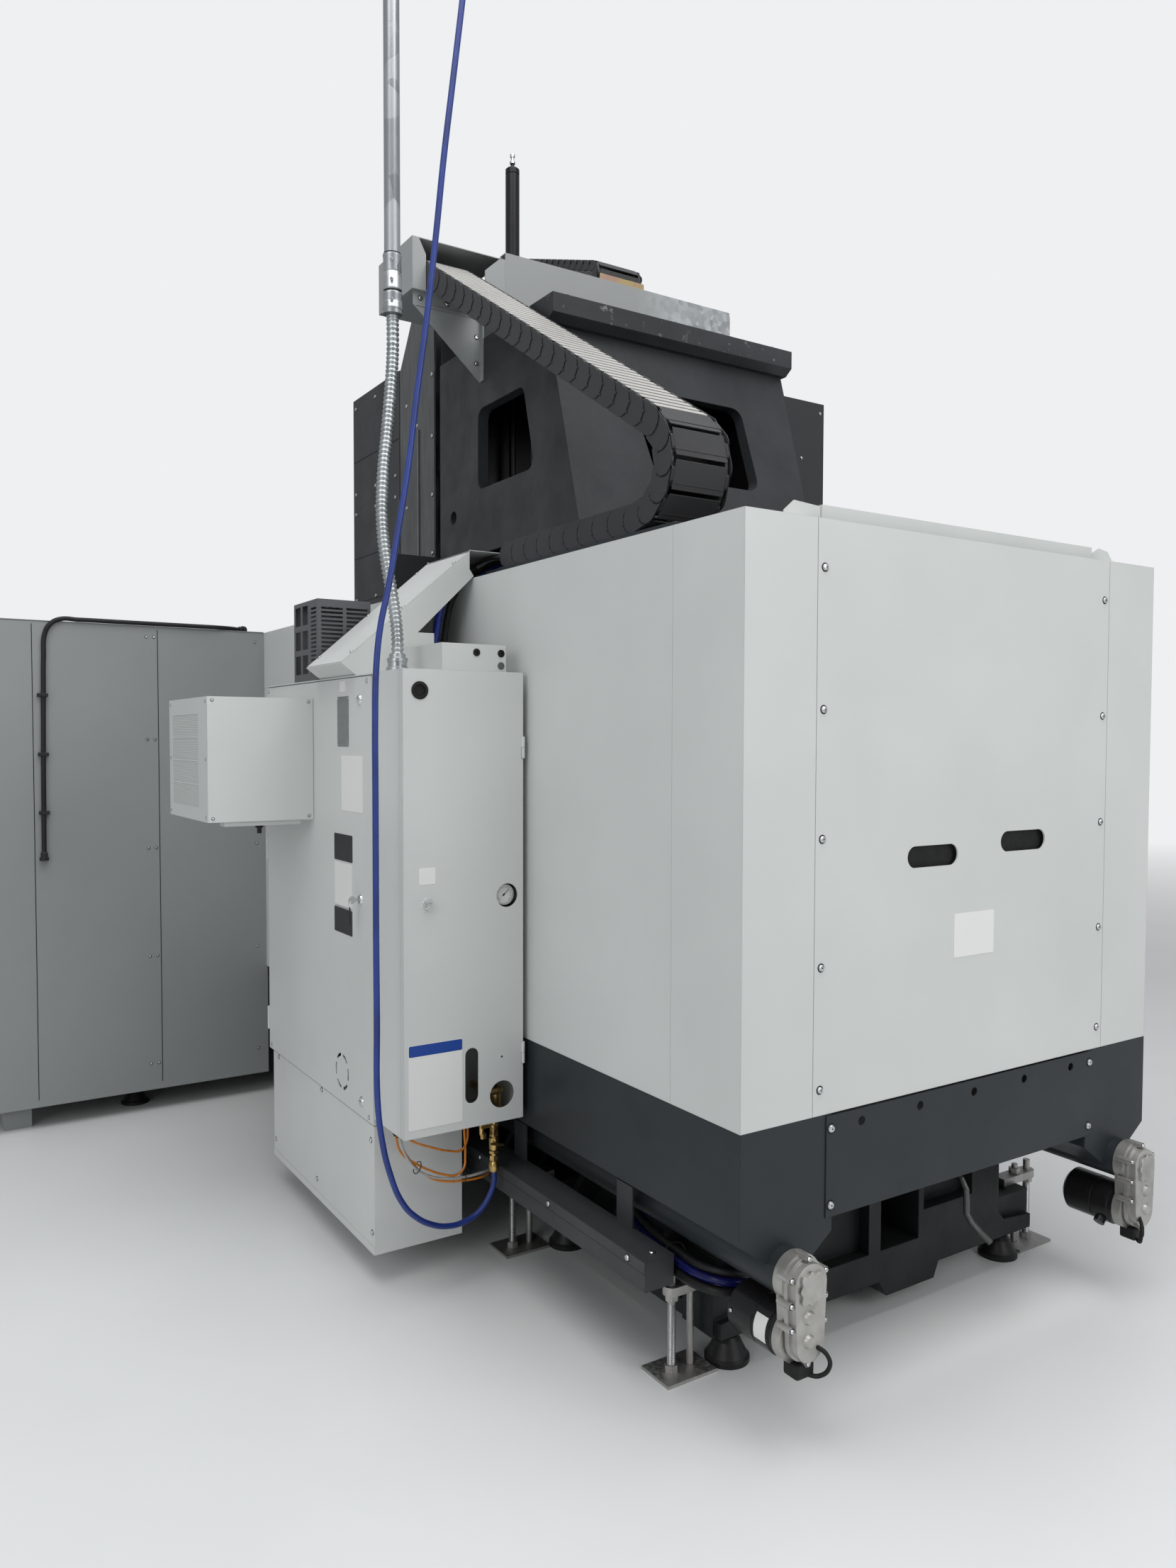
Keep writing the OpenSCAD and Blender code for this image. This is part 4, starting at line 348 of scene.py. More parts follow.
for i, z in enumerate((2.7495, 2.8485)):
    turned(
        f"tube_gap_{i}", [(0.02, 0), (0.0232, 0), (0.0232, 0.0024), (0.02, 0.0024), (0.02, 0)],
        (tube_x, tube_y, z), upward, slot_black,
    )

# Wall cable: a black sheathed cable in three screwed clamps up the rear wall of the
# chamber and along its top edge, with a gland at each end.
wall_cable_points = [
    (1.738, -1.904, 1.1), (1.737, -1.904, 1.26), (1.735, -1.904, 1.49), (1.732, -1.904, 1.72),
    (1.729, -1.904, 1.88), (1.724, -1.904, 1.96), (1.705, -1.904, 2.0), (1.67, -1.906, 2.022),
    (1.6, -1.908, 2.024), (1.45, -1.908, 2.024), (1.3, -1.908, 2.024), (1.15, -1.908, 2.024),
    (1.06, -1.91, 2.024), (1.0, -1.925, 2.024), (0.96, -1.95, 2.024),
]


def round_edges(piece, width, segments=2, limit="ANGLE"):
    rounding = piece.modifiers.new("rounding", "BEVEL")
    rounding.width = width
    rounding.segments = segments
    rounding.limit_method = limit
    bpy.ops.object.modifier_apply(modifier="rounding")


def shaped_box(name, low, high, material, body="frame", edge=0.002):
    """A box between two corners, with rounded edges."""
    bpy.ops.object.select_all(action="DESELECT")
    middle = [(a + b) / 2 for a, b in zip(low, high)]
    bpy.ops.mesh.primitive_cube_add(size=1, location=middle)
    piece = bpy.context.object
    piece.name = name
    piece.scale = [b - a for a, b in zip(low, high)]
    bpy.ops.object.transform_apply(location=True, rotation=True, scale=True)
    if edge:
        round_edges(piece, edge)
    return finish(piece, material, body)


cable_black = hose_rubber("cable_black", (0.012, 0.012, 0.013), 0.45)
black_plastic = hose_rubber("black_plastic", (0.016, 0.016, 0.017), 0.5)
wall_cable = hose_curve("wall_cable_sheath", wall_cable_points, 0.009, cable_black)
wall_cable_clamps = [
    shaped_box(f"wall_cable_clamp_{i}", (1.716, -1.915, z - 0.007), (1.754, -1.893, z + 0.007), black_plastic)
    for i, z in enumerate((1.26, 1.49, 1.722))
]
gland_profile = [
    (0, 0), (0.017, 0), (0.017, 0.012), (0.013, 0.014), (0.013, 0.03), (0.0095, 0.034), (0, 0.034),
]
cable_glands = [
    turned("wall_cable_gland_low", gland_profile, (1.738, -1.904, 1.072), upward, black_plastic),
    turned("wall_cable_gland_high", gland_profile, (0.93, -1.969, 2.024), (0.84, 0.54, 0), black_plastic),
]
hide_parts("wall_cable")

# Studio: a pale floor that keeps the shadow, a pale surrounding, a broad lamp from
# above like the hall's ceiling lights, and a weaker one from behind the camera.
floor_size = 60
bpy.ops.object.select_all(action="DESELECT")
bpy.ops.mesh.primitive_plane_add(size=floor_size, location=(0, 0, 0))
floor = bpy.context.object
floor.name = "studio_floor"
floor_paint = Surface("floor_paint", (0.7, 0.71, 0.71), 0.35)
floor_paint.colour(floor_paint.noise(1.5, 6), (0.69, 0.7, 0.7), (0.72, 0.73, 0.73))
floor.data.materials.append(floor_paint.material)

haze_white = (0.86, 0.87, 0.88, 1)
world = bpy.data.worlds.new("studio")
bpy.context.scene.world = world
world.use_nodes = True
air = world.node_tree
backdrop = air.nodes["Background"]
backdrop.inputs["Color"].default_value = (0.8, 0.82, 0.84, 1)
backdrop.inputs["Strength"].default_value = 0.5
plain = add_node(air, "Background", {"Color": haze_white, "Strength": 1.0})
pick = add_node(air, "MixShader", {
    "Fac": add_node(air, "LightPath", {}).outputs["Is Camera Ray"],
    1: backdrop.outputs["Background"], 2: plain.outputs["Background"],
})
air.links.new(pick.outputs["Shader"], air.nodes["World Output"].inputs["Surface"])

# Far from the machine the floor runs into the backdrop without a line.
reach = floor_paint.node("VectorMath", {0: floor_paint.place}, operation="LENGTH").outputs["Value"]
far = floor_paint.spread(reach, 0, 1, (5.0, 16.0))
seen = floor_paint.math("MULTIPLY", far, floor_paint.node("LightPath", {}).outputs["Is Camera Ray"])
join_floor = floor_paint.node("MixShader", {
    "Fac": seen, 1: floor_paint.shader.outputs["BSDF"],
    2: floor_paint.node("Emission", {"Color": haze_white}).outputs["Emission"],
})
floor_end = floor_paint.tree.nodes["Material Output"].inputs["Surface"]
floor_paint.tree.links.new(join_floor.outputs["Shader"], floor_end)


def soft_lamp(name, place, target, size, power):
    lamp = bpy.data.lights.new(name, "AREA")
    lamp.shape = "RECTANGLE"
    lamp.size, lamp.size_y = size
    lamp.energy = power
    holder = bpy.data.objects.new(name, lamp)
    bpy.context.collection.objects.link(holder)
    holder.location = place
    look = Vector(target) - Vector(place)
    holder.rotation_euler = look.to_track_quat("-Z", "Y").to_euler()


soft_lamp("ceiling_lamp", (1.0, 1.5, 6.8), (0.2, -0.4, 1.0), (7, 5), 330)
soft_lamp("fill_lamp", (6.5, 3.5, 3.2), (0.8, 0.0, 1.2), (3, 3), 80)
soft_lamp("rear_lamp", (-1.5, 6.5, 3.6), (0.0, 0.5, 1.2), (4, 3), 125)
bpy.context.scene.view_settings.view_transform = "Standard"


# Sheet guards, cabinets, doors and ducts: folded steel sheet with a light grey,
# slightly textured powder coat, with faint handling marks.
def powder_coat(name, colour, rough=0.42, grain=900, bump=0.1, marks=0.06, edge=0.0025):
    skin = Surface(name, colour, rough)
    skin.colour(skin.noise(1.7, 4), tint(colour, 1 - marks), tint(colour, 1 + marks * 0.6))
    skin.rough(skin.noise(6, 6, 0.65), rough - 0.07, rough + 0.1)
    skin.relief(skin.noise(grain, 2), bump, 0.0007, edge)
    return skin.material


def dress(material, *names):
    """Gives solids of the frame a material, which it passes on."""
    for name in names:
        data = nodes[name].data
        data.materials.clear()
        data.materials.append(material)
    return material


light_coat = dress(
    powder_coat("light_coat", (0.58, 0.6, 0.59)), "rear_panel", "corner_guard_right", "corner_guard_left",
    "side_guard_right", "side_guard_left", "guard_top_rail", "elec_cabinet", "elec_door", "cooler",
    "cable_duct", "lube_cabinet", "lube_door", "enclosure_sides", "front_door",
)
wall_coat = dress(powder_coat("wall_coat", (0.245, 0.26, 0.26), 0.5), "front_enclosure")
trough_coat = dress(powder_coat("trough_coat", (0.28, 0.295, 0.295), 0.42), "cable_trough")

# Skirt, raceway and covers: the same folded sheet with an anthracite powder coat.
dress(
    powder_coat("dark_coat", (0.022, 0.027, 0.03), 0.4, 800, 0.14, 0.12), "skirt_right", "skirt_left",
    "skirt_rear", "chain_tray",
)
dress(powder_coat("race_coat", (0.045, 0.048, 0.05), 0.36, 800, 0.12, 0.15), "raceway")
cover_coat = dress(
    powder_coat("cover_coat", (0.034, 0.037, 0.039), 0.45, 800, 0.12, 0.1), "head_cover", "magazine_cover",
)
cage_coat = dress(powder_coat("cage_coat", (0.1, 0.105, 0.11), 0.4, 900, 0.08, 0.1, 0.0008), "resistor_cage")


# Castings: filled and sprayed anthracite paint over sand-cast iron, so the faces
# are uneven in a soft, broad way, and glossier where the paint lies thick.
def cast_paint(name, colour, rough=0.42, bump=0.35):
    skin = Surface(name, colour, rough)
    skin.colour(skin.noise(2.5, 6, 0.6), tint(colour, 0.75), tint(colour, 1.3))
    skin.rough(skin.noise(8, 5), rough - 0.12, rough + 0.14)
    both = skin.math("MULTIPLY_ADD", skin.noise(26, 5, 0.6), 2.5, skin.noise(260, 2))
    skin.relief(both, bump, 0.0012, 0.004)
    return skin


column_skin = cast_paint("column_paint", (0.03, 0.032, 0.035))
dress(column_skin.material, "column")

# The cored inside of the column is painted near black: painted shade for the dark hollow that shows through
# its windows.
shell_side, shell_front = 0.4495, -0.8345
rear_foot, rear_slope = 0.614, 0.275
compare = column_skin.math
across, along, high = column_skin.node("SeparateXYZ", {"Vector": column_skin.place}).outputs
in_sides = compare("LESS_THAN", compare("ABSOLUTE", across), shell_side)
in_rear = compare("LESS_THAN", compare("ADD", along, compare("MULTIPLY", high, rear_slope)), rear_foot)
in_front = compare("GREATER_THAN", along, shell_front)
inside = compare("MULTIPLY", compare("MULTIPLY", in_sides, in_rear), in_front)
hollow_shaded_colour = column_skin.blend(inside, column_skin.colour_now(), (0.003, 0.003, 0.003))

# The flange at the top is chipped along its edges, down to bare iron.
flange_foot, flange_top = 2.884, 2.9444
over_foot = compare("GREATER_THAN", high, flange_foot)
on_edge = compare("MULTIPLY", over_foot, compare("LESS_THAN", high, flange_top))
worn = column_skin.spread(column_skin.noise(22, 8, 0.75), 0, 1, (0.6, 0.68))
chips = compare("MULTIPLY", compare("MULTIPLY", on_edge, worn), 0.8)
column_skin.drive("Base Color", column_skin.blend(chips, hollow_shaded_colour, (0.3, 0.3, 0.3)))
dress(cast_paint("bed_paint", (0.009, 0.01, 0.011), 0.5, 0.5).material, "bed")
dress(cast_paint("head_paint", (0.035, 0.038, 0.04), 0.45, 0.3).material, "head", "table_carriage")

# Galvanised panel over the column, which caught paint on its left part, and the
# straight conduit: bare zinc.
panel_skin = zinc("panel_zinc", (0.44, 0.46, 0.47), 0.42, 45)
panel_x = panel_skin.node("SeparateXYZ", {"Vector": panel_skin.place}).outputs["X"]
bare = panel_skin.spread(panel_x, 1, 0, (-0.42, -0.16))
panel_skin.drive("Base Color", panel_skin.blend(bare, (0.27, 0.28, 0.28), panel_skin.colour_now()))
panel_skin.drive("Metallic", panel_skin.spread(bare, 0.0, 0.85, (0, 1)))
dress(panel_skin.material, "tray_panel")
dress(tube_zinc, "conduit_tube")


# Ground and turned steel of the rails, the rod, the augers, the table and the discs.
def bright_steel(name, colour=(0.55, 0.56, 0.57), rough=0.3, scratch=(40, 40, 400)):
    skin = Surface(name, colour, rough, 1.0)
    stretched = skin.node("Mapping", {"Scale": scratch, "Vector": skin.place}).outputs["Vector"]
    lines = skin.noise(1.0, 4, place=stretched)
    skin.rough(lines, rough - 0.08, rough + 0.15)
    skin.colour(skin.noise(5), tint(colour, 0.85), tint(colour, 1.1))
    skin.relief(lines, 0.08, 0.0003, 0.0008)
    return skin.material


dress(
    bright_steel("rail_steel", scratch=(400, 20, 400)), "linear_rails", "head_drive", "spindle",
    "auger_right", "auger_left", "tool_disc",
)
dress(bright_steel("table_steel", (0.42, 0.43, 0.44), 0.36, (300, 300, 20)), "rotary_table")
dress(bright_steel("strip_steel", (0.16, 0.165, 0.17), 0.34, (60, 60, 8)), "way_strips")
dress(bright_steel("floor_iron", (0.42, 0.41, 0.4), 0.5, (120, 120, 60)), "anchor_plates", "anchor_clamps")
dress(bright_steel("tube_steel", (0.12, 0.12, 0.118), 0.45, (120, 120, 60)), "drain_tube")
chrome = dress(bright_steel("chrome", (0.66, 0.67, 0.68), 0.15, (200, 200, 200)), "door_locks")
dress(brass, "air_coupling")

# Die-cast gearboxes: raw aluminium with a fine, even skin.
diecast_skin = Surface("diecast", (0.44, 0.43, 0.41), 0.42, 0.75)
diecast_skin.colour(diecast_skin.noise(18, 5), (0.34, 0.33, 0.31), (0.5, 0.49, 0.47))
diecast_skin.relief(diecast_skin.noise(500), 0.25, 0.0005, 0.002)
diecast = diecast_skin.material
dress(diecast, "auger_gearboxes")

# Moulded and lacquered black pieces: motors, pads, chains, cylinder, glands.
motor_lacquer = dress(
    powder_coat("motor_lacquer", (0.012, 0.012, 0.013), 0.25, 500, 0.06, 0.15), "auger_motors",
    "balance_cylinder",
)
dress(hose_rubber("pad_plastic", (0.01, 0.01, 0.011), 0.4), "levelling_pads", "feed_knob")
dress(
    powder_coat("chain_plastic", (0.04, 0.04, 0.043), 0.34, 300, 0.15, 0.15, 0.0015), "energy_chain",
    "top_chain",
)
dress(powder_coat("pump_plastic", (0.62, 0.6, 0.52), 0.35), "lube_pump")
dress(powder_coat("gauge_face", (0.75, 0.75, 0.73), 0.3), "pressure_gauge")
dress(powder_coat("pendant_coat", (0.45, 0.47, 0.48), 0.4), "pendant")
dress(hose_rubber("stop_red", (0.55, 0.012, 0.01), 0.3), "stop_button")

# Door window: laminated glass.
window_glass = Surface("window_glass", (0.3, 0.36, 0.38), 0.06)
window_glass.shader.inputs["Transmission Weight"].default_value = 0.85
window_glass.rough(window_glass.noise(3), 0.04, 0.1)
dress(window_glass.material, "door_window")


# Large energy chain: black glass-filled side plates whose round ends overlap like
# scales, two slats per link across the upper run and one smooth lid per link in
# the bend. The plates snap together, the slats are clipped in.
rightward = (1, 0, 0)


def plate(name, outline, origin, along, across, thickness, material=None, body=None, edge=0.0):
    """A flat piece: an outline in the plane of along and across, raised by thickness."""
    origin, along, across = (Vector(v) for v in (origin, along, across))
    rise = along.cross(across).normalized() * thickness
    verts = [origin + u * along + v * across for u, v in outline]
    piece = mesh_piece(name, verts, [], [tuple(range(len(outline)))])
    bpy.ops.object.mode_set(mode="EDIT")
    bpy.ops.mesh.select_all(action="SELECT")
    bpy.ops.mesh.extrude_region_move(TRANSFORM_OT_translate={"value": rise})
    bpy.ops.object.mode_set(mode="OBJECT")
    face_outwards()
    if edge:
        round_edges(piece, edge)
    return finish(piece, material, body)


def joined(name, parts, material, body):
    """One piece made of several, in one material or each in its own."""
    bpy.ops.object.select_all(action="DESELECT")
    for part in parts:
        part.select_set(True)
    whole = parts[0]
    bpy.context.view_layer.objects.active = whole
    if len(parts) > 1:
        bpy.ops.object.join()
    whole.name = name
    if material:
        whole.data.materials.clear()
    finish(whole, material, body)


def copies(name, piece, matrices, material, body):
    """One piece made of copies of a model piece, which is then removed."""
    parts = []
    for matrix in matrices:
        part = bpy.data.objects.new(name, piece.data.copy())
        part.data.transform(matrix)
        bpy.context.collection.objects.link(part)
        parts.append(part)
    bpy.data.objects.remove(piece)
    joined(name, parts, material, body)


def at(x, y, z):
    return Matrix.Translation((x, y, z))


def chain_frames(joints, x):
    """For each link: a matrix whose X runs along the link and whose Y points out of the bend."""
    frames = []
    for (y0, z0), (y1, z1) in zip(joints, joints[1:]):
        length = hypot(y1 - y0, z1 - z0)
        cy, cz = (y1 - y0) / length, (z1 - z0) / length
        frames.append((Matrix((
            (0, 0, -1, x), (cy, cz, 0, y0), (cz, -cy, 0, z0), (0, 0, 0, 1),
        )), length))
    return frames


def bend_and_run(middle, radius, turn, bend_links, run, slope, run_links):
    """Joints round a bend from its lowest point, then up a straight run at its slope."""
    y, z = middle
    turns = [radians(-90 + turn * k / bend_links) for k in range(bend_links + 1)]
    bend = [(y + radius * cos(a), z + radius * sin(a)) for a in turns]
    y, z = bend[-1]
    across, up = run * cos(slope) / run_links, run * sin(slope) / run_links
    return bend + [(y - across * k, z + up * k) for k in range(1, run_links + 1)]


lower_run = [(-0.01 + 0.654 * k / 9, 2.104) for k in range(9)]
joints = lower_run + bend_and_run((0.644, 2.226), 0.122, 148.5, 5, 1.576, radians(31.5), 22)


def scale_outline(length, radius, lap):
    """The round end lies on the first joint of the link, the square end on the next."""
    turns = [radians(d) for d in range(80, -81, -20)]
    arc = [(-radius * cos(a) - lap, radius * sin(a)) for a in turns]
    end = length - radius * 0.55
    return [(end, radius * 0.985)] + arc + [(end, -radius * 0.985)]


short_link = 0.03
short_radius = 0.017
scale_plastic = powder_coat("scale_plastic", (0.04, 0.04, 0.043), 0.42, 260, 0.2, 0.2, 0.0012)


def scale_row(name, links, out, radius, lap, thick, edge, lift, start, body):
    """One side of a chain: overlapping scales, each lifted at its round end."""
    scales = []
    for matrix, length in links:
        outline = scale_outline(length, radius if length > short_link else short_radius, lap)
        scale = plate("scale", outline, (0, 0, 0), rightward, rearward, thick, edge=edge)
        for vertex in scale.data.vertices:
            part = min(max((vertex.co.x + start) / (length + start), 0), 1)
            vertex.co.z = -out * (vertex.co.z + lift * (1 - part))
        if out > 0:
            scale.data.flip_normals()
        scale.data.transform(matrix)
        scales.append(scale)
    joined(name, scales, scale_plastic, body)


right_side, middle, left_side = 0.7012, 0.612, 0.5228
for side, x, out in (("right", right_side, 1), ("left", left_side, -1)):
    links = chain_frames(joints, x)
    scale_row(f"chain_scales_{side}", links, out, 0.0368, 0.004, 0.0022, 0.0008, 0.0024, 0.04, "frame")
    # Black rims under the round end of each scale: painted shade in the steps between the scales.
    rim_outline = [(0.0387 * cos(a), 0.0358 * sin(a)) for a in (radians(d) for d in range(250, 109, -10))]
    rim = plate("rim", rim_outline, (-0.005, 0, 0), rightward, rearward, 0.0004)
    rim.data.transform(Matrix.Scale(-1, 4, upward))
    rim.data.flip_normals()
    rim_lift = -0.0037 if out > 0 else 0.0041
    copies(f"chain_joints_{side}", rim, [m @ at(0, 0, rim_lift) for m, _ in links], slot_black, "frame")

slat_grey = powder_coat("slat_grey", (0.46, 0.45, 0.43), 0.3, 200, 0.1, 0.1, 0.0006)
middle_links = chain_frames(joints, middle)
half_slat = 0.0785
first_upper = 14
slat = shaped_box("slat", (0.004, 0.0345, -half_slat), (0.0275, 0.037, half_slat), slat_grey, None, 0.0008)
slat_places = [m @ at(length * half / 2, 0, 0) for m, length in middle_links[first_upper:] for half in (0, 1)]
copies("chain_slats", slat, slat_places, slat_grey, "frame")
lid_plastic = powder_coat("lid_plastic", (0.05, 0.05, 0.052), 0.28, 300, 0.08, 0.12, 0.001)
lid = shaped_box("lid", (-0.004, 0.0345, -half_slat), (0.0666, 0.0375, half_slat), lid_plastic, None, 0.001)
lid_fold = shaped_box(
    "lid_fold", (0.01, 0.0375, -half_slat), (0.0125, 0.0388, half_slat), lid_plastic, None, 0.0005,
)
lid_places = [m for m, _ in middle_links[:first_upper]]
copies("chain_lids", lid, lid_places, lid_plastic, "frame")
copies("chain_lid_folds", lid_fold, lid_places, lid_plastic, "frame")
hinge_pin = turned(
    "hinge_pin", [(0, 0), (0.0035, 0), (0.003, 0.0012), (0, 0.0012)], (0, 0, 0), (0, 0, -1), scale_plastic,
    None, 12,
)
pin_places = [
    m @ at(length * 0.42, dy, -0.0045)
    for m, length in chain_frames(joints, right_side) for dy in (0.012, -0.014)
]
copies("chain_pins", hinge_pin, pin_places, scale_plastic, "frame")

# Cables in the large chain: power and signal cables and two blue air tubes, which
# leave the duct and lie in the open start of the lower run.
cable_blue = hose_rubber("cable_blue", (0.012, 0.035, 0.3), 0.3)
cable_grey = hose_rubber("cable_grey", (0.3, 0.31, 0.32), 0.4)
for i, (x, radius, material) in enumerate((
    (0.548, 0.009, cable_black), (0.57, 0.01, cable_black), (0.594, 0.008, cable_blue),
    (0.616, 0.008, cable_blue), (0.64, 0.011, cable_black), (0.666, 0.009, cable_grey),
    (0.684, 0.006, cable_black),
)):
    hose_curve(
        f"chain_cable_{i}",
        [(x + 0.05, -0.262, 2.06 + 0.004 * i), (x + 0.02, -0.235, 2.098), (x, -0.19, 2.112 + 0.002 * (i % 3)),
         (x, -0.06, 2.104), (x, 0.1, 2.098), (x, 0.4, 2.098)],
        radius, material,
    )
for i, (x, y, radius, material) in enumerate(
    ((0.85, -0.2, 0.011, cable_blue), (0.82, -0.2, 0.01, cable_black)),
):
    hose_curve(
        f"duct_cable_{i}",
        [(x + 0.014, y, 1.73), (x + 0.008, y, 1.8), (x, y, 1.85), (x - 0.016, y, 1.945), (x - 0.036, y, 2.0),
         (x - 0.075, y, 2.06), (x - 0.11, y, 2.085)],
        radius, material,
    )

# Chain on top of the column: narrow moulded links with slotted side plates, lids
# of the same plastic, and a yellow-passivated angle that it starts from.
top_lower_run = [(-0.98 + 0.328 * k / 7, 3.277) for k in range(7)]
top_joints = top_lower_run + bend_and_run((-0.652, 3.306), 0.029, 160, 3, 0.96, radians(20), 20)
top_right, top_middle, top_left = -0.0098, -0.109, -0.2082
for side, x, out in (("right", top_right, 1), ("left", top_left, -1)):
    links = chain_frames(top_joints, x)
    scale_row(f"top_chain_scales_{side}", links, out, 0.0186, 0.002, 0.0018, 0.0006, 0.0018, 0.02, "column")
long_links = [
    [m for m, length in chain_frames(top_joints, x) if length > short_link]
    for x in (top_right, top_middle)
]
bend_links = [m for m, length in chain_frames(top_joints, top_middle) if length < short_link]
# The black boxes in the slots of the side plates are painted shade.
for name, low, tall, material, edge, places in (
    ("slots", (0.02, 0.002, -0.0052), (0.0245, 0.014, -0.001), slot_black, 0.0012, long_links[0]),
    ("lids", (0.001, 0.0172, -0.0885), (0.0462, 0.0196, 0.0885), lid_plastic, 0.0008, long_links[1]),
    ("bend_lids", (-0.002, 0.0172, -0.0885), (0.028, 0.0196, 0.0885), lid_plastic, 0.0008, bend_links),
):
    copies(f"top_chain_{name}", shaped_box(name, low, tall, material, None, edge), places, material, "column")

yellow_zinc = Surface("yellow_zinc", (0.5, 0.42, 0.2), 0.3, 0.8)
yellow_zinc.colour(yellow_zinc.noise(14, 4), (0.55, 0.47, 0.18), (0.5, 0.3, 0.28))
yellow_zinc.relief(yellow_zinc.noise(200), 0.08, 0.0004, 0.0008)
plate(
    "top_chain_angle", [(0, 0), (0.03, 0), (0.03, 0.2), (0, 0.2)], (-0.209, -0.594, 3.2585),
    upward, rightward, 0.003, yellow_zinc.material, "column", 0.0008,
)

# Cables where they enter the trough, and rubber edge protection over them.
# Black rubber; the same black also serves as painted shade in sheets and discs behind openings.
rubber_black = hose_rubber("rubber_black", (0.01, 0.01, 0.01), 0.6)
for i, (x, z) in enumerate(((0.548, 3.085), (0.575, 3.088), (0.602, 3.084), (0.63, 3.087), (0.66, 3.085))):
    hose_curve(
        f"trough_cable_{i}",
        [(x, -0.615, 3.14 + 0.004 * (i % 2)), (x, -0.68, 3.12), (x - 0.01, -0.76, z),
         (x - 0.03, -0.8, z - 0.002), (x - 0.08, -0.83, z)],
        0.0085, cable_black, "column",
    )
shaped_box("trough_strap", (0.526, -0.604, 3.12), (0.698, -0.588, 3.128), rubber_black, "column", 0.001)

# Black sheets as painted shade: one over the side window of the column next to the
# magazine, and one behind each of the two hand slots of the rear panel.
shaped_box("column_window_cover", (-0.454, -0.64, 2.4), (-0.45, -0.19, 2.74), rubber_black, "column", 0.001)
for i, (x, z) in enumerate(((0.155, 1.273), (-0.19, 1.295))):
    shaped_box(
        f"hand_slot_flap_{i}", (x - 0.105, 1.114, z - 0.036), (x + 0.105, 1.1165, z + 0.036), rubber_black,
        "frame", 0.0008,
    )

# Column: the flange is bolted, and its outer edge is worn to bare iron in patches.
# Socket head screws, black oxide.
screw_black = dress(bright_steel("screw_black", (0.05, 0.05, 0.052), 0.35, (200, 200, 200)), "balance_rod")


def socket_screw(name, radius, height):
    """Head of a socket screw standing on the origin along +Z."""
    return turned(
        name,
        [(0, 0), (radius, 0), (radius, height * 0.9), (radius * 0.92, height), (radius * 0.55, height),
         (radius * 0.55, height * 0.45), (0, height * 0.45)],
        (0, 0, 0), upward, screw_black, None, 20,
    )


copies(
    "column_flange_screws", socket_screw("flange_screw", 0.012, 0.012),
    facing(upward, [(x, y, 2.945) for x in (-0.43, 0.43) for y in (-0.48, -0.3, -0.12)]), screw_black,
    "column",
)
zinc_screw = bright_steel("zinc_screw", (0.62, 0.63, 0.64), 0.25, (200, 200, 200))


def screw_row(name, radius, height, body, *rows):
    """Recessed pan heads, each with a black ring round its foot and a black recess, which
    are painted shade. A row says which way its heads face and where they stand."""
    piece = turned(
        name,
        [(0, 0), (radius * 1.3, 0), (radius * 1.3, height * 0.1), (radius, height * 0.1),
         (radius * 0.98, height * 0.5), (radius * 0.75, height * 0.92), (radius * 0.22, height),
         (radius * 0.18, height * 0.8), (0, height * 0.8)],
        (0, 0, 0), upward, zinc_screw, None, 18,
    )
    piece.data.materials.append(slot_black)
    # Faces outside the head's rim and in its recess take the black: painted shade.
    for face in piece.data.polygons:
        reach = hypot(face.center.x, face.center.y)
        if reach > radius * 1.01 or reach < radius * 0.21 and face.center.z > height * 0.3:
            face.material_index = 1
    copies(name, piece, [m for axis, places in rows for m in facing(axis, places)], None, body)


screw_row(
    "gusset_screws", 0.007, 0.004, "column",
    (rearward, [(x, -0.5868, z) for x, z in (
        (0.52, 3.04), (0.62, 3.04), (0.72, 3.04), (0.508, 2.86), (0.508, 2.95))]),
)
plate(
    "gusset_fold", [(0, 0), (0.245, 0), (0.245, 0.012), (0, 0.012)], (0.494, -0.5865, 3.012),
    rightward, upward, -0.0012, trough_coat, "column", 0.0005,
)

# Guard plate over the front edge of the column, behind the end of the trough.
shaped_box("column_edge_guard", (0.3, -0.9185, 2.9455), (0.486, -0.9155, 3.062), cover_coat, "column", 0.0008)

# Balance cylinder: a lacquered tube with a gland ring and a filling nipple.
turned(
    "cylinder_nipple",
    [(0, 0), (0.01, 0), (0.01, 0.008), (0.006, 0.01), (0.006, 0.022), (0.009, 0.024), (0.009, 0.034),
     (0, 0.036)],
    (0.264, -0.77, 3.6845), upward, zinc_screw, "column",
)
turned(
    "cylinder_collar", [(0.0262, 0), (0.031, 0.001), (0.031, 0.014), (0.0262, 0.015)],
    (0.264, -0.77, 3.3), upward, motor_lacquer, "column",
)

# Head cover and side strips: rows of small screws along the folded sheet edges.
screw_row(
    "strip_screws", 0.0075, 0.004, "column",
    (rightward, [(0.4925, y, z) for y, z in (
        (-1.222, 2.871), (-1.222, 2.611), (-1.222, 2.471), (-1.124, 2.772), (-1.165, 2.719))]),
    (rightward, [(0.495, y, z) for y in (-1.76, -1.54, -1.33) for z in (2.16, 2.534, 2.62, 2.99)]),
    (rightward, [(0.4972, -0.975, z) for z in (2.26, 2.48, 2.7, 2.93, 3.12)]),
)
for i, z in enumerate((2.34, 2.76)):
    shaped_box(
        f"cover_seam_{i}", (0.4951, -1.785, z), (0.4962, -1.295, z + 0.0015), slot_black, "column", 0.0,
    )

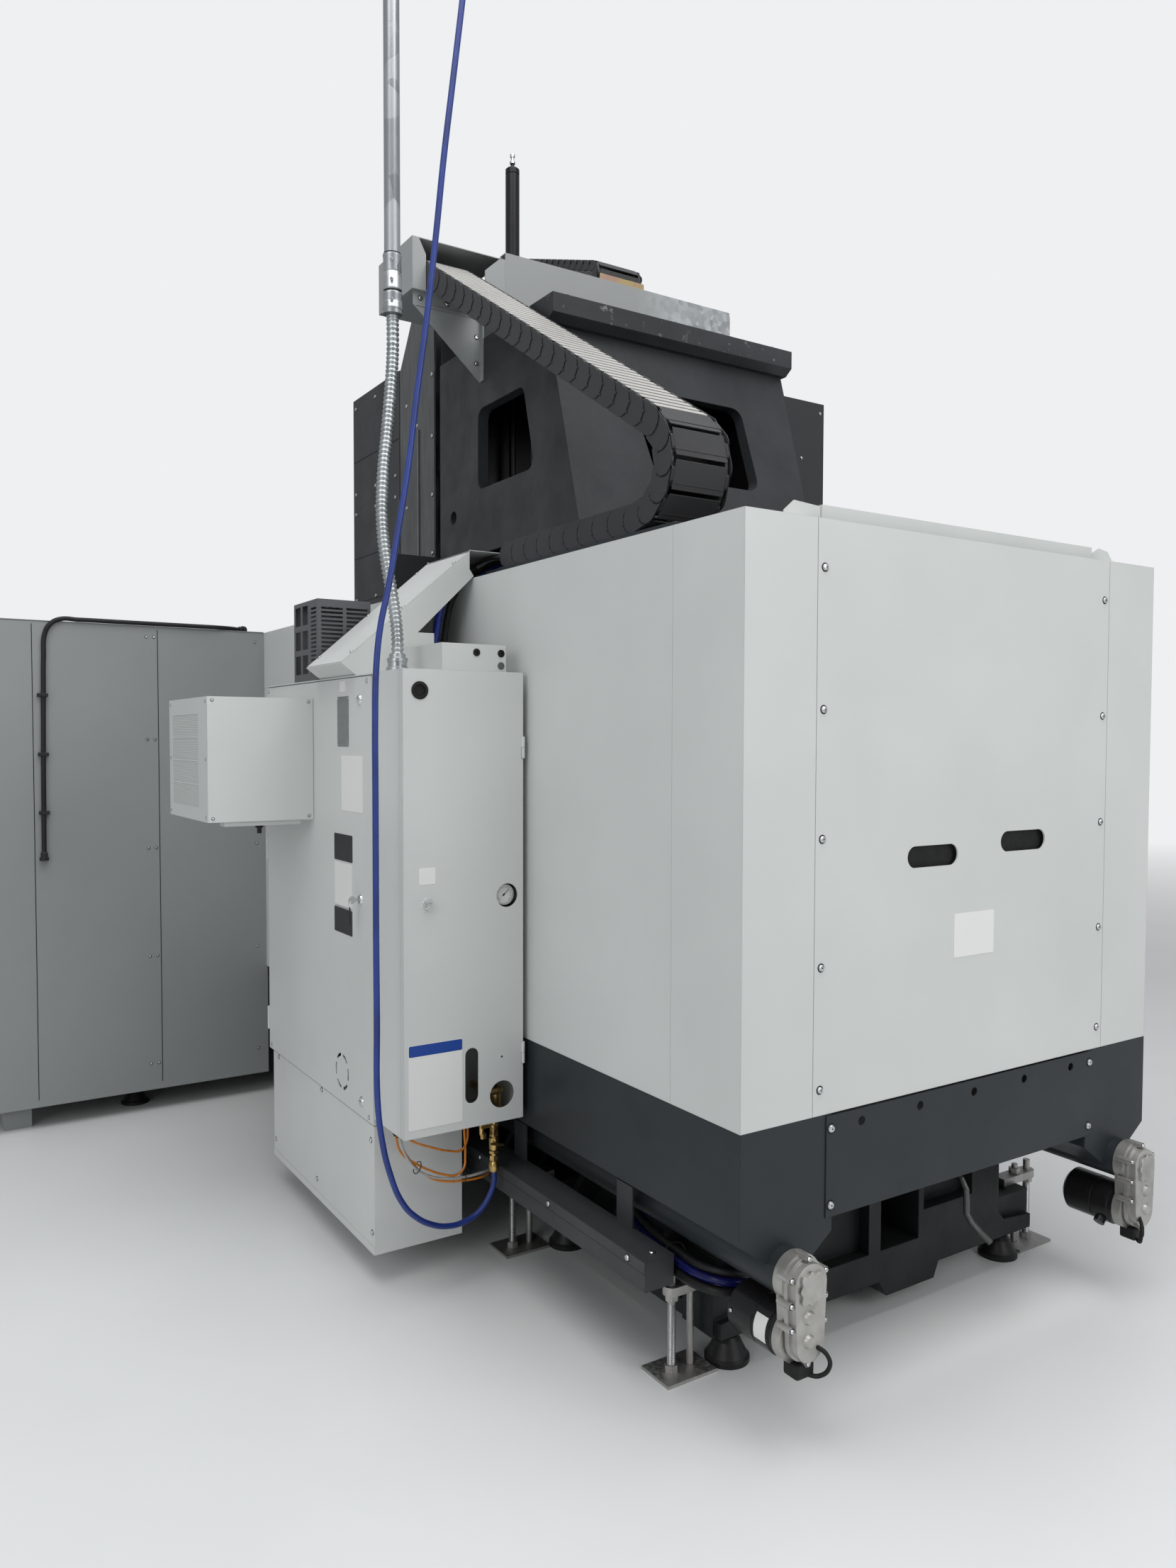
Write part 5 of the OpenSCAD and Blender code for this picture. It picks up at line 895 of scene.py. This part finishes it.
# Rear panel, skirt panel and raceway lid: bright zinc-plated heads, of which the
# middles sit on the screws of the solids.
screw_row(
    "panel_screws", 0.008, 0.0054, "frame",
    (rearward, [(s * 0.525, 1.13, z) for s in (-1, 1) for z in (1.935, 1.62, 1.33, 1.04, 0.762)]),
)
screw_row(
    "skirt_screws", 0.0092, 0.0056, "frame",
    (rearward, [(s * 0.491, 1.133, z) for s in (-1, 1) for z in (0.492, 0.669)]),
)
screw_row(
    "raceway_screws", 0.0075, 0.0042, "frame",
    (rightward, [(0.802, y, 0.306) for y in (0.772, 0.4, 0.0)]), (upward, [(0.755, 0.807, 0.32)]),
)
shaped_box("raceway_lid_joint", (0.8, -0.698, 0.2905), (0.8012, 0.8425, 0.2925), slot_black, "frame", 0.0)

# Magazine cover: sheet with a folded seam and hinged service flap on its rear face.
shaped_box("magazine_flap", (-0.93, -0.4698, 2.32), (-0.62, -0.4672, 2.72), cover_coat, "column", 0.0008)
screw_row(
    "magazine_screws", 0.006, 0.003, "column",
    (rearward, [(x, -0.4672, z) for x in (-0.915, -0.635) for z in (2.335, 2.52, 2.705)]),
    (rearward, [(x, -0.4698, z) for x in (-1.02, -0.52) for z in (2.13, 2.9)]),
)

# Blank plates: an anodised rating plate, white plastic plates and a paper card,
# all without lettering, riveted or glued on.
plate_white = powder_coat("plate_white", (0.74, 0.74, 0.73), 0.35, 900, 0.02, 0.02, 0.0004)
plate_metal = bright_steel("plate_metal", (0.32, 0.33, 0.34), 0.34, (30, 30, 600))
band_blue = powder_coat("band_blue", (0.01, 0.055, 0.3), 0.35, 900, 0.02, 0.05)
plate_black = powder_coat("plate_black", (0.02, 0.021, 0.022), 0.3, 900, 0.02, 0.2)


def card(name, low, high, material, body):
    """A thin plate between two corners, its corners rounded in its own plane."""
    piece = shaped_box(name, low, high, material, body, 0.0)
    thin = min(range(3), key=lambda k: high[k] - low[k])
    weights = piece.data.attributes.new("bevel_weight_edge", "FLOAT", "EDGE")
    for e in piece.data.edges:
        a, b = (piece.data.vertices[v].co for v in e.vertices)
        weights.data[e.index].value = float(abs(a[thin] - b[thin]) > same_place)
    round_edges(piece, 0.004, 4, "WEIGHT")


card("rear_blank_plate", (-0.077, 1.13, 1.016), (0.075, 1.1308, 1.125), plate_white, "frame")
cabinet_side = 1.139
lube_face = 0.218
for name, material, y0, y1, z0, z1 in (
    ("rating_plate", plate_metal, -0.262, -0.17, 1.53, 1.677),
    ("small_plate", plate_white, -0.24, -0.195, 1.69, 1.722),
    ("tall_plate", plate_white, -0.231, -0.063, 1.342, 1.504),
    ("middle_plate", plate_white, -0.292, -0.15, 1.058, 1.186),
    ("dark_plate_high", plate_black, -0.294, -0.146, 1.192, 1.271),
    ("dark_plate_low", plate_black, -0.296, -0.15, 0.976, 1.05),
):
    card(f"cabinet_{name}", (cabinet_side, y0, z0), (cabinet_side + 0.0008, y1, z1), material, "elec_door")
card("lube_card", (0.967, lube_face, 0.508), (1.126, 0.2188, 0.737), plate_white, "lube_door")
card("lube_card_band", (0.968, 0.2188, 0.706), (1.125, 0.2191, 0.736), band_blue, "lube_door")
card("lube_small_plate", (1.046, lube_face, 1.165), (1.094, 0.2186, 1.21), plate_white, "lube_door")
rivet = turned(
    "rivet", [(0, 0), (0.0022, 0), (0.0014, 0.001), (0, 0.0012)], (0, 0, 0), upward, zinc_screw, None, 12,
)
copies(
    "plate_rivets", rivet,
    facing(rightward, [(cabinet_side + 0.0008, y, z) for y in (-0.257, -0.175) for z in (1.536, 1.671)]),
    zinc_screw, "elec_door",
)

# Cooler: filter mats behind a fine steel mesh in the four panes, pan head screws
# round the housing and a plastic drain spout under the drip ledge.
filter_mesh = Surface("filter_mesh", (0.46, 0.48, 0.47), 0.55, 0.2)
weave = filter_mesh.node(
    "TexWave", {"Scale": 60, "Vector": filter_mesh.place}, wave_type="BANDS", bands_direction="Z",
).outputs["Fac"]
filter_mesh.colour(weave, (0.42, 0.44, 0.43), (0.6, 0.62, 0.61), (0.2, 0.6))
filter_mesh.relief(weave, 0.4, 0.001)
pane = shaped_box(
    "pane", (1.4641, -0.9145, 1.3425), (1.4647, -0.5835, 1.4075), filter_mesh.material, None, 0.0,
)
copies("cooler_mesh", pane, [at(0, 0, 0.073 * k) for k in range(4)], filter_mesh.material, "elec_door")
screw_row(
    "cooler_screws", 0.004, 0.0025, "elec_door",
    (rightward, [(1.465, y, z) for y in (-0.945, -0.495) for z in (1.315, 1.49, 1.664)]),
    (rearward, [(x, -0.475, z) for x in (1.155, 1.45) for z in (1.312, 1.668)]),
)
turned(
    "cooler_drain", [(0, 0), (0.012, 0), (0.012, 0.008), (0.007, 0.01), (0.007, 0.026), (0, 0.026)],
    (1.3, -0.515, 1.2862), (0, 0, -1), black_plastic, "elec_door", 20,
)
screw_row(
    "cabinet_door_screws", 0.005, 0.003, "elec_door",
    (rightward, [(cabinet_side, y, z) for y in (-0.935, -0.03) for z in (0.478, 1.715)]),
)
screw_row(
    "plinth_screws", 0.0065, 0.004, "frame",
    (rightward, [(1.137, y, z) for y, z in (
        (-0.86, 0.452), (-0.427, 0.452), (-0.02, 0.416), (-0.9, 0.152), (-0.476, 0.152), (-0.013, 0.152))]),
)


# Keys: stamped steel keys in the middle lock and in the lock of the small cabinet,
# each with a ring, and a plastic strap that hangs from the first.
def ring(name, centre, axis, radius, wire, material, body):
    bpy.ops.object.select_all(action="DESELECT")
    bpy.ops.mesh.primitive_torus_add(
        major_radius=radius, minor_radius=wire, major_segments=28, minor_segments=8, location=centre,
        rotation=Vector(upward).rotation_difference(Vector(axis)).to_euler(),
    )
    bpy.ops.object.transform_apply(location=True, rotation=True, scale=True)
    piece = bpy.context.object
    piece.name = name
    bpy.ops.object.shade_smooth()
    return finish(piece, material, body)


key_bow = [(0.011 * cos(radians(d)), -0.018 + 0.011 * sin(radians(d))) for d in range(-240, 61, 20)]
key_outline = key_bow + [(0.004, 0.0), (-0.004, 0.0)]
plate(
    "cabinet_key", key_outline, (1.1465, -0.0831, 1.094), upward, (-1, 0, 0), 0.0018, zinc_screw, "elec_door",
    0.0004,
)
ring("cabinet_key_ring", (1.172, -0.084, 1.083), rightward, 0.01, 0.0008, chrome, "elec_door")
plate(
    "cabinet_key_strap", [(0, 0), (0.01, 0), (0.01, -0.052), (0, -0.052)], (1.1716, -0.089, 1.074), rearward,
    upward, 0.0008, black_plastic, "elec_door",
)
plate(
    "lube_key", key_outline, (1.0702, 0.2405, 1.117), (1, 0, 0.25), rearward, 0.0018, zinc_screw, "lube_door",
    0.0004,
)
ring("lube_key_ring", (1.088, 0.242, 1.113), (0, 1, 0.2), 0.01, 0.0008, chrome, "lube_door")

# Small cabinet's door: rubber grommet in the cable hole, and the fittings that show
# behind the round holes.
turned(
    "door_grommet",
    [(0.015, 0), (0.0235, 0), (0.024, 0.002), (0.0205, 0.0032), (0.016, 0.0032), (0.015, 0.002), (0.015, 0)],
    (1.09, lube_face, 1.681), rearward, rubber_black, "lube_door", 36,
)
turned(
    "grommet_web", [(0, 0), (0.0162, 0), (0.0162, 0.0015), (0, 0.0015)], (1.09, 0.2146, 1.681), rearward,
    rubber_black, "lube_door", 32,
)
turned(
    "hood_plug", [(0, 0), (0.0105, 0), (0.0095, 0.0025), (0, 0.003)], (0.834, 0.1942, 1.756), rearward,
    cage_coat, "frame", 24,
)
for i, (x, z) in enumerate(((0.91, 1.79), (0.834, 1.79))):
    turned(
        f"hood_grommet_{i}", [(0.0055, 0), (0.0105, 0), (0.0105, 0.0018), (0.0055, 0.0022), (0.0055, 0)],
        (x, 0.1942, z), rearward, rubber_black, "frame", 24,
    )
    turned(
        f"hood_shadow_{i}", [(0, 0), (0.0085, 0), (0.0085, 0.001), (0, 0.001)], (x, 0.1922, z), rearward,
        rubber_black, "frame", 20,
    )
turned(
    "drain_valve",
    [(0, 0), (0.016, 0), (0.016, 0.03), (0.011, 0.034), (0.011, 0.05), (0.007, 0.052), (0.007, 0.06),
     (0, 0.06)],
    (0.85, 0.13, 0.566), (-0.35, 0.93, -0.05), brass, "frame", 20,
)
shaped_box("valve_lever", (0.838, 0.188, 0.56), (0.868, 0.194, 0.572), brass, "frame", 0.002)
# A black disc on the door: painted shade in a small pin hole.
turned(
    "door_pin_hole", [(0, 0), (0.003, 0), (0.0022, 0.0006), (0, 0.0006)], (0.845, lube_face, 0.668), rearward,
    slot_black, "lube_door", 12,
)
hose_curve(
    "pump_line",
    [(0.944, 0.085, 0.782), (0.942, 0.105, 0.72), (0.934, 0.135, 0.64), (0.936, 0.12, 0.57),
     (0.93, 0.1, 0.52)],
    0.006, black_plastic,
)

# Pressure gauge: white dial with a ring of ticks, a black pointer and a bezel.
dial = powder_coat("dial", (0.78, 0.78, 0.76), 0.3, 900, 0.02, 0.02)
gauge_x, gauge_z = 0.828, 1.119
turned(
    "gauge_dial", [(0, 0), (0.0255, 0), (0.0255, 0.0008), (0, 0.0008)], (gauge_x, 0.1982, gauge_z), rearward,
    dial, "frame", 40,
)
turned(
    "gauge_bezel",
    [(0.025, 0), (0.0302, 0), (0.0302, 0.003), (0.0285, 0.005), (0.0262, 0.005), (0.025, 0.003), (0.025, 0)],
    (gauge_x, 0.2, gauge_z), rearward, chrome, "frame", 48,
)
tick = shaped_box("tick", (-0.0005, 0, 0.0185), (0.0005, 0.0004, 0.0225), slot_black, None, 0.0)
tick_turns = [at(gauge_x, 0.199, gauge_z) @ Matrix.Rotation(radians(d), 4, "Y") for d in range(-135, 136, 15)]
copies("gauge_ticks", tick, tick_turns, slot_black, "frame")
pointer = plate(
    "pointer", [(-0.0012, -0.006), (0.0012, -0.006), (0.0004, 0.019), (-0.0004, 0.019)], (0, 0, 0), rightward,
    upward, -0.0005,
)
copies(
    "gauge_pointer", pointer, [at(gauge_x, 0.1998, gauge_z) @ Matrix.Rotation(radians(-50), 4, "Y")],
    slot_black, "frame",
)
turned(
    "gauge_boss", [(0, 0), (0.0028, 0), (0.0022, 0.0012), (0, 0.0014)], (gauge_x, 0.1998, gauge_z), rearward,
    slot_black, "frame", 16,
)

# Tubes under the small cabinet: two orange oil lines and two clear hoses that hang
# in short loops between the cabinet's floor and the manifold, with push-in unions.
orange_tube = hose_rubber("orange_tube", (0.62, 0.2, 0.015), 0.25)
clear_tube = hose_rubber("clear_tube", (0.42, 0.42, 0.4), 0.2)
cabinet_floor = 0.486
small_lines = {
    "oil_line_a": (orange_tube, 0.0032, [
        (1.125, 0.125, cabinet_floor), (1.122, 0.124, 0.46), (1.105, 0.122, 0.415), (1.061, 0.12, 0.377),
        (1.02, 0.12, 0.35), (0.979, 0.12, 0.33), (0.94, 0.12, 0.32), (0.915, 0.118, 0.332),
        (0.906, 0.112, 0.37), (0.905, 0.105, 0.425), (0.905, 0.1, cabinet_floor)]),
    "oil_line_b": (orange_tube, 0.0032, [
        (1.1, 0.105, cabinet_floor), (1.092, 0.107, 0.46), (1.065, 0.112, 0.437), (1.02, 0.12, 0.416),
        (0.96, 0.12, 0.393), (0.922, 0.118, 0.387), (0.902, 0.11, 0.402), (0.892, 0.1, 0.44),
        (0.89, 0.095, cabinet_floor)]),
    "oil_line_c": (orange_tube, 0.0032, [
        (1.112, 0.112, cabinet_floor), (1.104, 0.114, 0.44), (1.075, 0.118, 0.385), (1.029, 0.12, 0.336),
        (0.98, 0.12, 0.311), (0.915, 0.12, 0.299), (0.86, 0.11, 0.292), (0.825, 0.09, 0.288),
        (0.803, 0.07, 0.286)]),
    "clear_line": (clear_tube, 0.004, [
        (1.122, 0.14, cabinet_floor), (1.112, 0.134, 0.45), (1.095, 0.128, 0.408), (1.061, 0.124, 0.362),
        (0.999, 0.122, 0.325), (0.915, 0.12, 0.309), (0.86, 0.112, 0.306), (0.825, 0.096, 0.302),
        (0.803, 0.082, 0.298)]),
}


def line_between(name, points, radius, material):
    """A hose or cable with both ends in the machine."""
    line = hose_curve(name, points, radius, material)


for name, (material, radius, points) in small_lines.items():
    line_between(name, points, radius, material)
union = turned(
    "union", [(0, 0), (0.007, 0), (0.007, 0.01), (0.005, 0.012), (0.005, 0.016), (0, 0.016)], (0, 0, 0),
    (0, 0, -1), black_plastic, None, 16,
)
copies(
    "tube_unions", union,
    [at(x, y, 0.4852) for _, _, points in small_lines.values() for x, y, z in (points[0], points[-1])
     if z == cabinet_floor],
    black_plastic, "frame",
)
turned(
    "tube_grommet", [(0, 0), (0.02, 0), (0.019, 0.004), (0.014, 0.006), (0, 0.006)], (0.802, 0.076, 0.286),
    rightward, rubber_black, "frame", 24,
)
ring("tube_tie_a", (1.058, 0.121, 0.366), (0.85, 0, 0.5), 0.017, 0.0014, black_plastic, "frame")
ring("tube_tie_b", (0.915, 0.119, 0.312), rightward, 0.017, 0.0014, black_plastic, "frame")

# Brass stack: knurled coupling ring, wing of the ball valve and union nuts on it.
stack_x, stack_y, valve_z = 0.834, 0.15, 0.402
turned(
    "coupling_sleeve",
    [(0.0082, 0), (0.0135, 0.001), (0.015, 0.006), (0.015, 0.02), (0.013, 0.024), (0.0105, 0.03),
     (0.0082, 0.03)],
    (stack_x, stack_y, 0.32), upward, brass, "frame", 24,
)
plate(
    "valve_wing",
    [(-0.02, -0.004), (0.02, -0.004), (0.024, 0.0), (0.02, 0.004), (-0.02, 0.004), (-0.024, 0.0)],
    (stack_x, 0.1665, valve_z), (1, 0, 0.25), upward, -0.003, brass, "frame", 0.001,
)
turned(
    "valve_stem", [(0, 0), (0.005, 0), (0.005, 0.018), (0, 0.018)], (stack_x, stack_y, valve_z),
    rearward, brass, "frame", 16,
)
for i, z in enumerate((0.372, 0.422, 0.448, 0.488)):
    turned(
        f"brass_nut_{i}", [(0.009, 0), (0.0145, 0.0008), (0.0145, 0.0078), (0.009, 0.0088)],
        (stack_x, stack_y, z), upward, brass, "frame", 6,
    )

# Hoses behind the end of the raceway: coolant and air hoses in a flat bundle, which
# swing inwards to the bed and are tied together.
hose_navy = hose_rubber("hose_navy", (0.008, 0.01, 0.09), 0.25)
for i, (dx, dz, radius, material) in enumerate((
    (0.0, 0.0, 0.011, cable_black), (-0.008, 0.022, 0.01, hose_navy), (-0.018, 0.04, 0.01, cable_black),
    (-0.026, 0.002, 0.011, hose_navy), (-0.034, 0.023, 0.01, cable_black),
)):
    points = [
        (0.452, 0.44 - dx, 0.24 + dz * 0.7), (0.54, 0.452 - dx, 0.246 + dz * 0.8),
        (0.61 + dx * 0.6, 0.5, 0.256 + dz), (0.655 + dx, 0.59, 0.264 + dz), (0.682 + dx, 0.7, 0.264 + dz),
        (0.694 + dx, 0.82, 0.264 + dz), (0.692 + dx, 0.9, 0.264 + dz),
        (0.662 + dx, 0.958 + dx * 0.4, 0.262 + dz), (0.604 + dx, 0.97 + dx * 0.5, 0.254 + dz * 0.8),
        (0.54 + dx, 0.93 + dx, 0.246 + dz * 0.7), (0.452, 0.85 + dx, 0.24 + dz * 0.7),
    ]
    line_between(f"bed_hose_{i}", points, radius, material)
ring("bed_hose_tie", (0.676, 0.79, 0.283), rearward, 0.036, 0.0018, black_plastic, "frame")

# Gear units: rating plate round the motor, cover screws, cable boot and its cable,
# and the waved outline that is cast on the cover.
auger_x = 0.63
boot_x = 0.632
cover_outline = []
for k in range(48):
    a = 2 * pi * k / 48
    r = min((0.03 + 0.0035 * cos(8 * a)) / max(abs(cos(a)), abs(sin(a))), 0.037)
    cover_outline.append((r * cos(a), 1.12 * r * sin(a)))
bosses = [
    (0.05, 0.018), (0.05, -0.038), (0.048, -0.092), (-0.05, 0.018), (-0.05, -0.038), (-0.048, -0.092),
    (0.0, 0.054), (0.0, -0.177),
]
plate_turns = [radians(d) for d in range(-18, 41, 6)]
motor_radius, motor_z = 0.0602, 0.248
for side, sign in (("right", 1), ("left", -1)):
    verts = [
        (sign * (auger_x + motor_radius * cos(a)), y, motor_z + motor_radius * sin(a))
        for y in (1.1, 1.138) for a in plate_turns
    ]
    count = len(plate_turns)
    faces = [(k, k + 1, k + 1 + count, k + count)[::-sign] for k in range(count - 1)]
    motor_plate = mesh_piece(f"motor_plate_{side}", verts, [], faces)
    thick = motor_plate.modifiers.new("thick", "SOLIDIFY")
    thick.thickness = 0.0006
    thick.offset = 1
    bpy.ops.object.modifier_apply(modifier="thick")
    face_outwards()
    smooth_active()
    finish(motor_plate, plate_white, "frame")
    screw_row(
        f"gear_screws_{side}", 0.0055, 0.004, "frame",
        (rearward, [(sign * (auger_x + dx), 1.21, 0.378 + dz) for dx, dz in bosses]),
    )
    plate(
        f"gear_cover_{side}", cover_outline, (sign * boot_x, 1.2215, 0.372), rightward, upward, -0.003,
        diecast, "frame", 0.001,
    )
    shaped_box(
        f"cable_boot_{side}", (sign * boot_x - 0.026, 1.16, 0.166), (sign * boot_x + 0.026, 1.206, 0.2),
        rubber_black, "frame", 0.006,
    )
    cable = [
        (0.612, 1.214, 0.238), (0.596, 1.232, 0.222), (0.59, 1.234, 0.192), (0.606, 1.22, 0.172),
        (0.626, 1.196, 0.172),
    ]
    hose_curve(f"motor_cable_{side}", [(sign * x, y, z) for x, y, z in cable], 0.005, rubber_black)
    screw_row(f"motor_screws_{side}", 0.005, 0.003, "frame", ((sign, 0, 0), [(sign * 0.6896, 1.022, 0.255)]))

# Floor anchors: the threads of the rods show as fine rings over the nuts.
thread = bright_steel("thread", (0.46, 0.47, 0.48), 0.3)
thread_profile = [(0.01, 0)]
for k in range(60):
    thread_profile += [(0.0108, 0.001 + k * 0.0025), (0.0101, 0.0022 + k * 0.0025)]
for i, (x, y) in enumerate([(s * 0.69, y) for s in (-1, 1) for y in (-0.8, 0.0, 0.8)]):
    turned(f"anchor_thread_{i}", thread_profile, (x, y, 0.026), upward, thread, "frame", 14)

# Bed: foot screws beside the levelling pads, black socket heads.
copies(
    "bed_foot_screws", socket_screw("bed_foot_screw", 0.011, 0.01),
    facing(upward, [(s * 0.56, y, 0.13) for s in (-1, 1) for y in (0.64, 0.26, -0.26, -0.5)]), screw_black,
    "frame",
)

# Duct: a lid along its slope, held by pan head screws near both long edges.
duct_slope = Vector((-0.756, 0, 0.654)).normalized()
duct_up = Vector((duct_slope.z, 0, -duct_slope.x))
duct_foot = Vector((1.18, -0.42, 1.769))
plate(
    "duct_lid", [(0.004, 0.002), (0.532, 0.002), (0.532, 0.298), (0.004, 0.298)],
    duct_foot + duct_up * 0.0002, duct_slope, rearward, -0.0014, light_coat, "frame", 0.0005,
)
screw_row(
    "duct_screws", 0.0055, 0.003, "frame",
    (duct_up, [
        duct_foot + duct_slope * t + duct_up * 0.0016 + Vector((0, dy, 0))
        for t in (0.05, 0.26, 0.48) for dy in (0.014, 0.286)
    ]),
)

# Chamber wall: joints between its sheet panels, with a row of screws beside each.
chamber_rear = -1.915
for name, sign in (("wall_joint", 1), ("wall_joint_left", -1)):
    for i, x in enumerate((1.7685, 1.3)):
        shaped_box(
            f"{name}_{i}", (sign * x, chamber_rear, 0.12), (sign * x + 0.0025, chamber_rear + 0.0012, 2.0),
            slot_black, "frame", 0.0,
        )
screw_row(
    "wall_screws", 0.005, 0.003, "frame",
    (rearward, [
        (s * x, chamber_rear, z) for s in (-1, 1) for x in (1.915, 1.345, 1.315, 0.9)
        for z in (0.2, 0.65, 1.1, 1.55, 1.97)
    ]),
)
shaped_box("wall_top_cap", (0.862, -1.92, 2.0121), (1.95, -1.912, 2.015), wall_coat, "frame", 0.0008)

# Operator door: rubber seal round the window and a grip on the handle.
seal = [
    shaped_box("seal", (x0, -3.2668, z0), (x1, -3.261, z1), rubber_black, None, 0.002)
    for x0, x1, z0, z1 in (
        (-0.475, 0.475, 1.035, 1.055), (-0.475, 0.475, 1.825, 1.845),
        (-0.475, -0.455, 1.035, 1.845), (0.455, 0.475, 1.035, 1.845),
    )
]
joined("door_seal", seal, rubber_black, "front_door")
turned(
    "door_grip", [(0, 0), (0.013, 0.002), (0.015, 0.02), (0.015, 0.2), (0.013, 0.218), (0, 0.22)],
    (-0.545, -3.312, 1.35), upward, rubber_black, "front_door", 24,
)

# Pendant: screen behind glass, a row of soft keys under it and a key field, blank.
screen_glass = powder_coat("screen_glass", (0.01, 0.014, 0.02), 0.08, 900, 0.0, 0.1)
shaped_box("pendant_screen", (1.004, -3.5448, 1.314), (1.356, -3.5425, 1.606), screen_glass, "pendant", 0.001)
key_grey = hose_rubber("key_grey", (0.3, 0.31, 0.32), 0.5)
soft_key = shaped_box("soft_key", (-0.012, -0.003, -0.008), (0.012, 0, 0.008), key_grey, None, 0.0015)
copies(
    "soft_keys", soft_key, [at(1.005 + 0.0389 * k, -3.5487, 1.276) for k in range(10)], key_grey, "pendant",
)
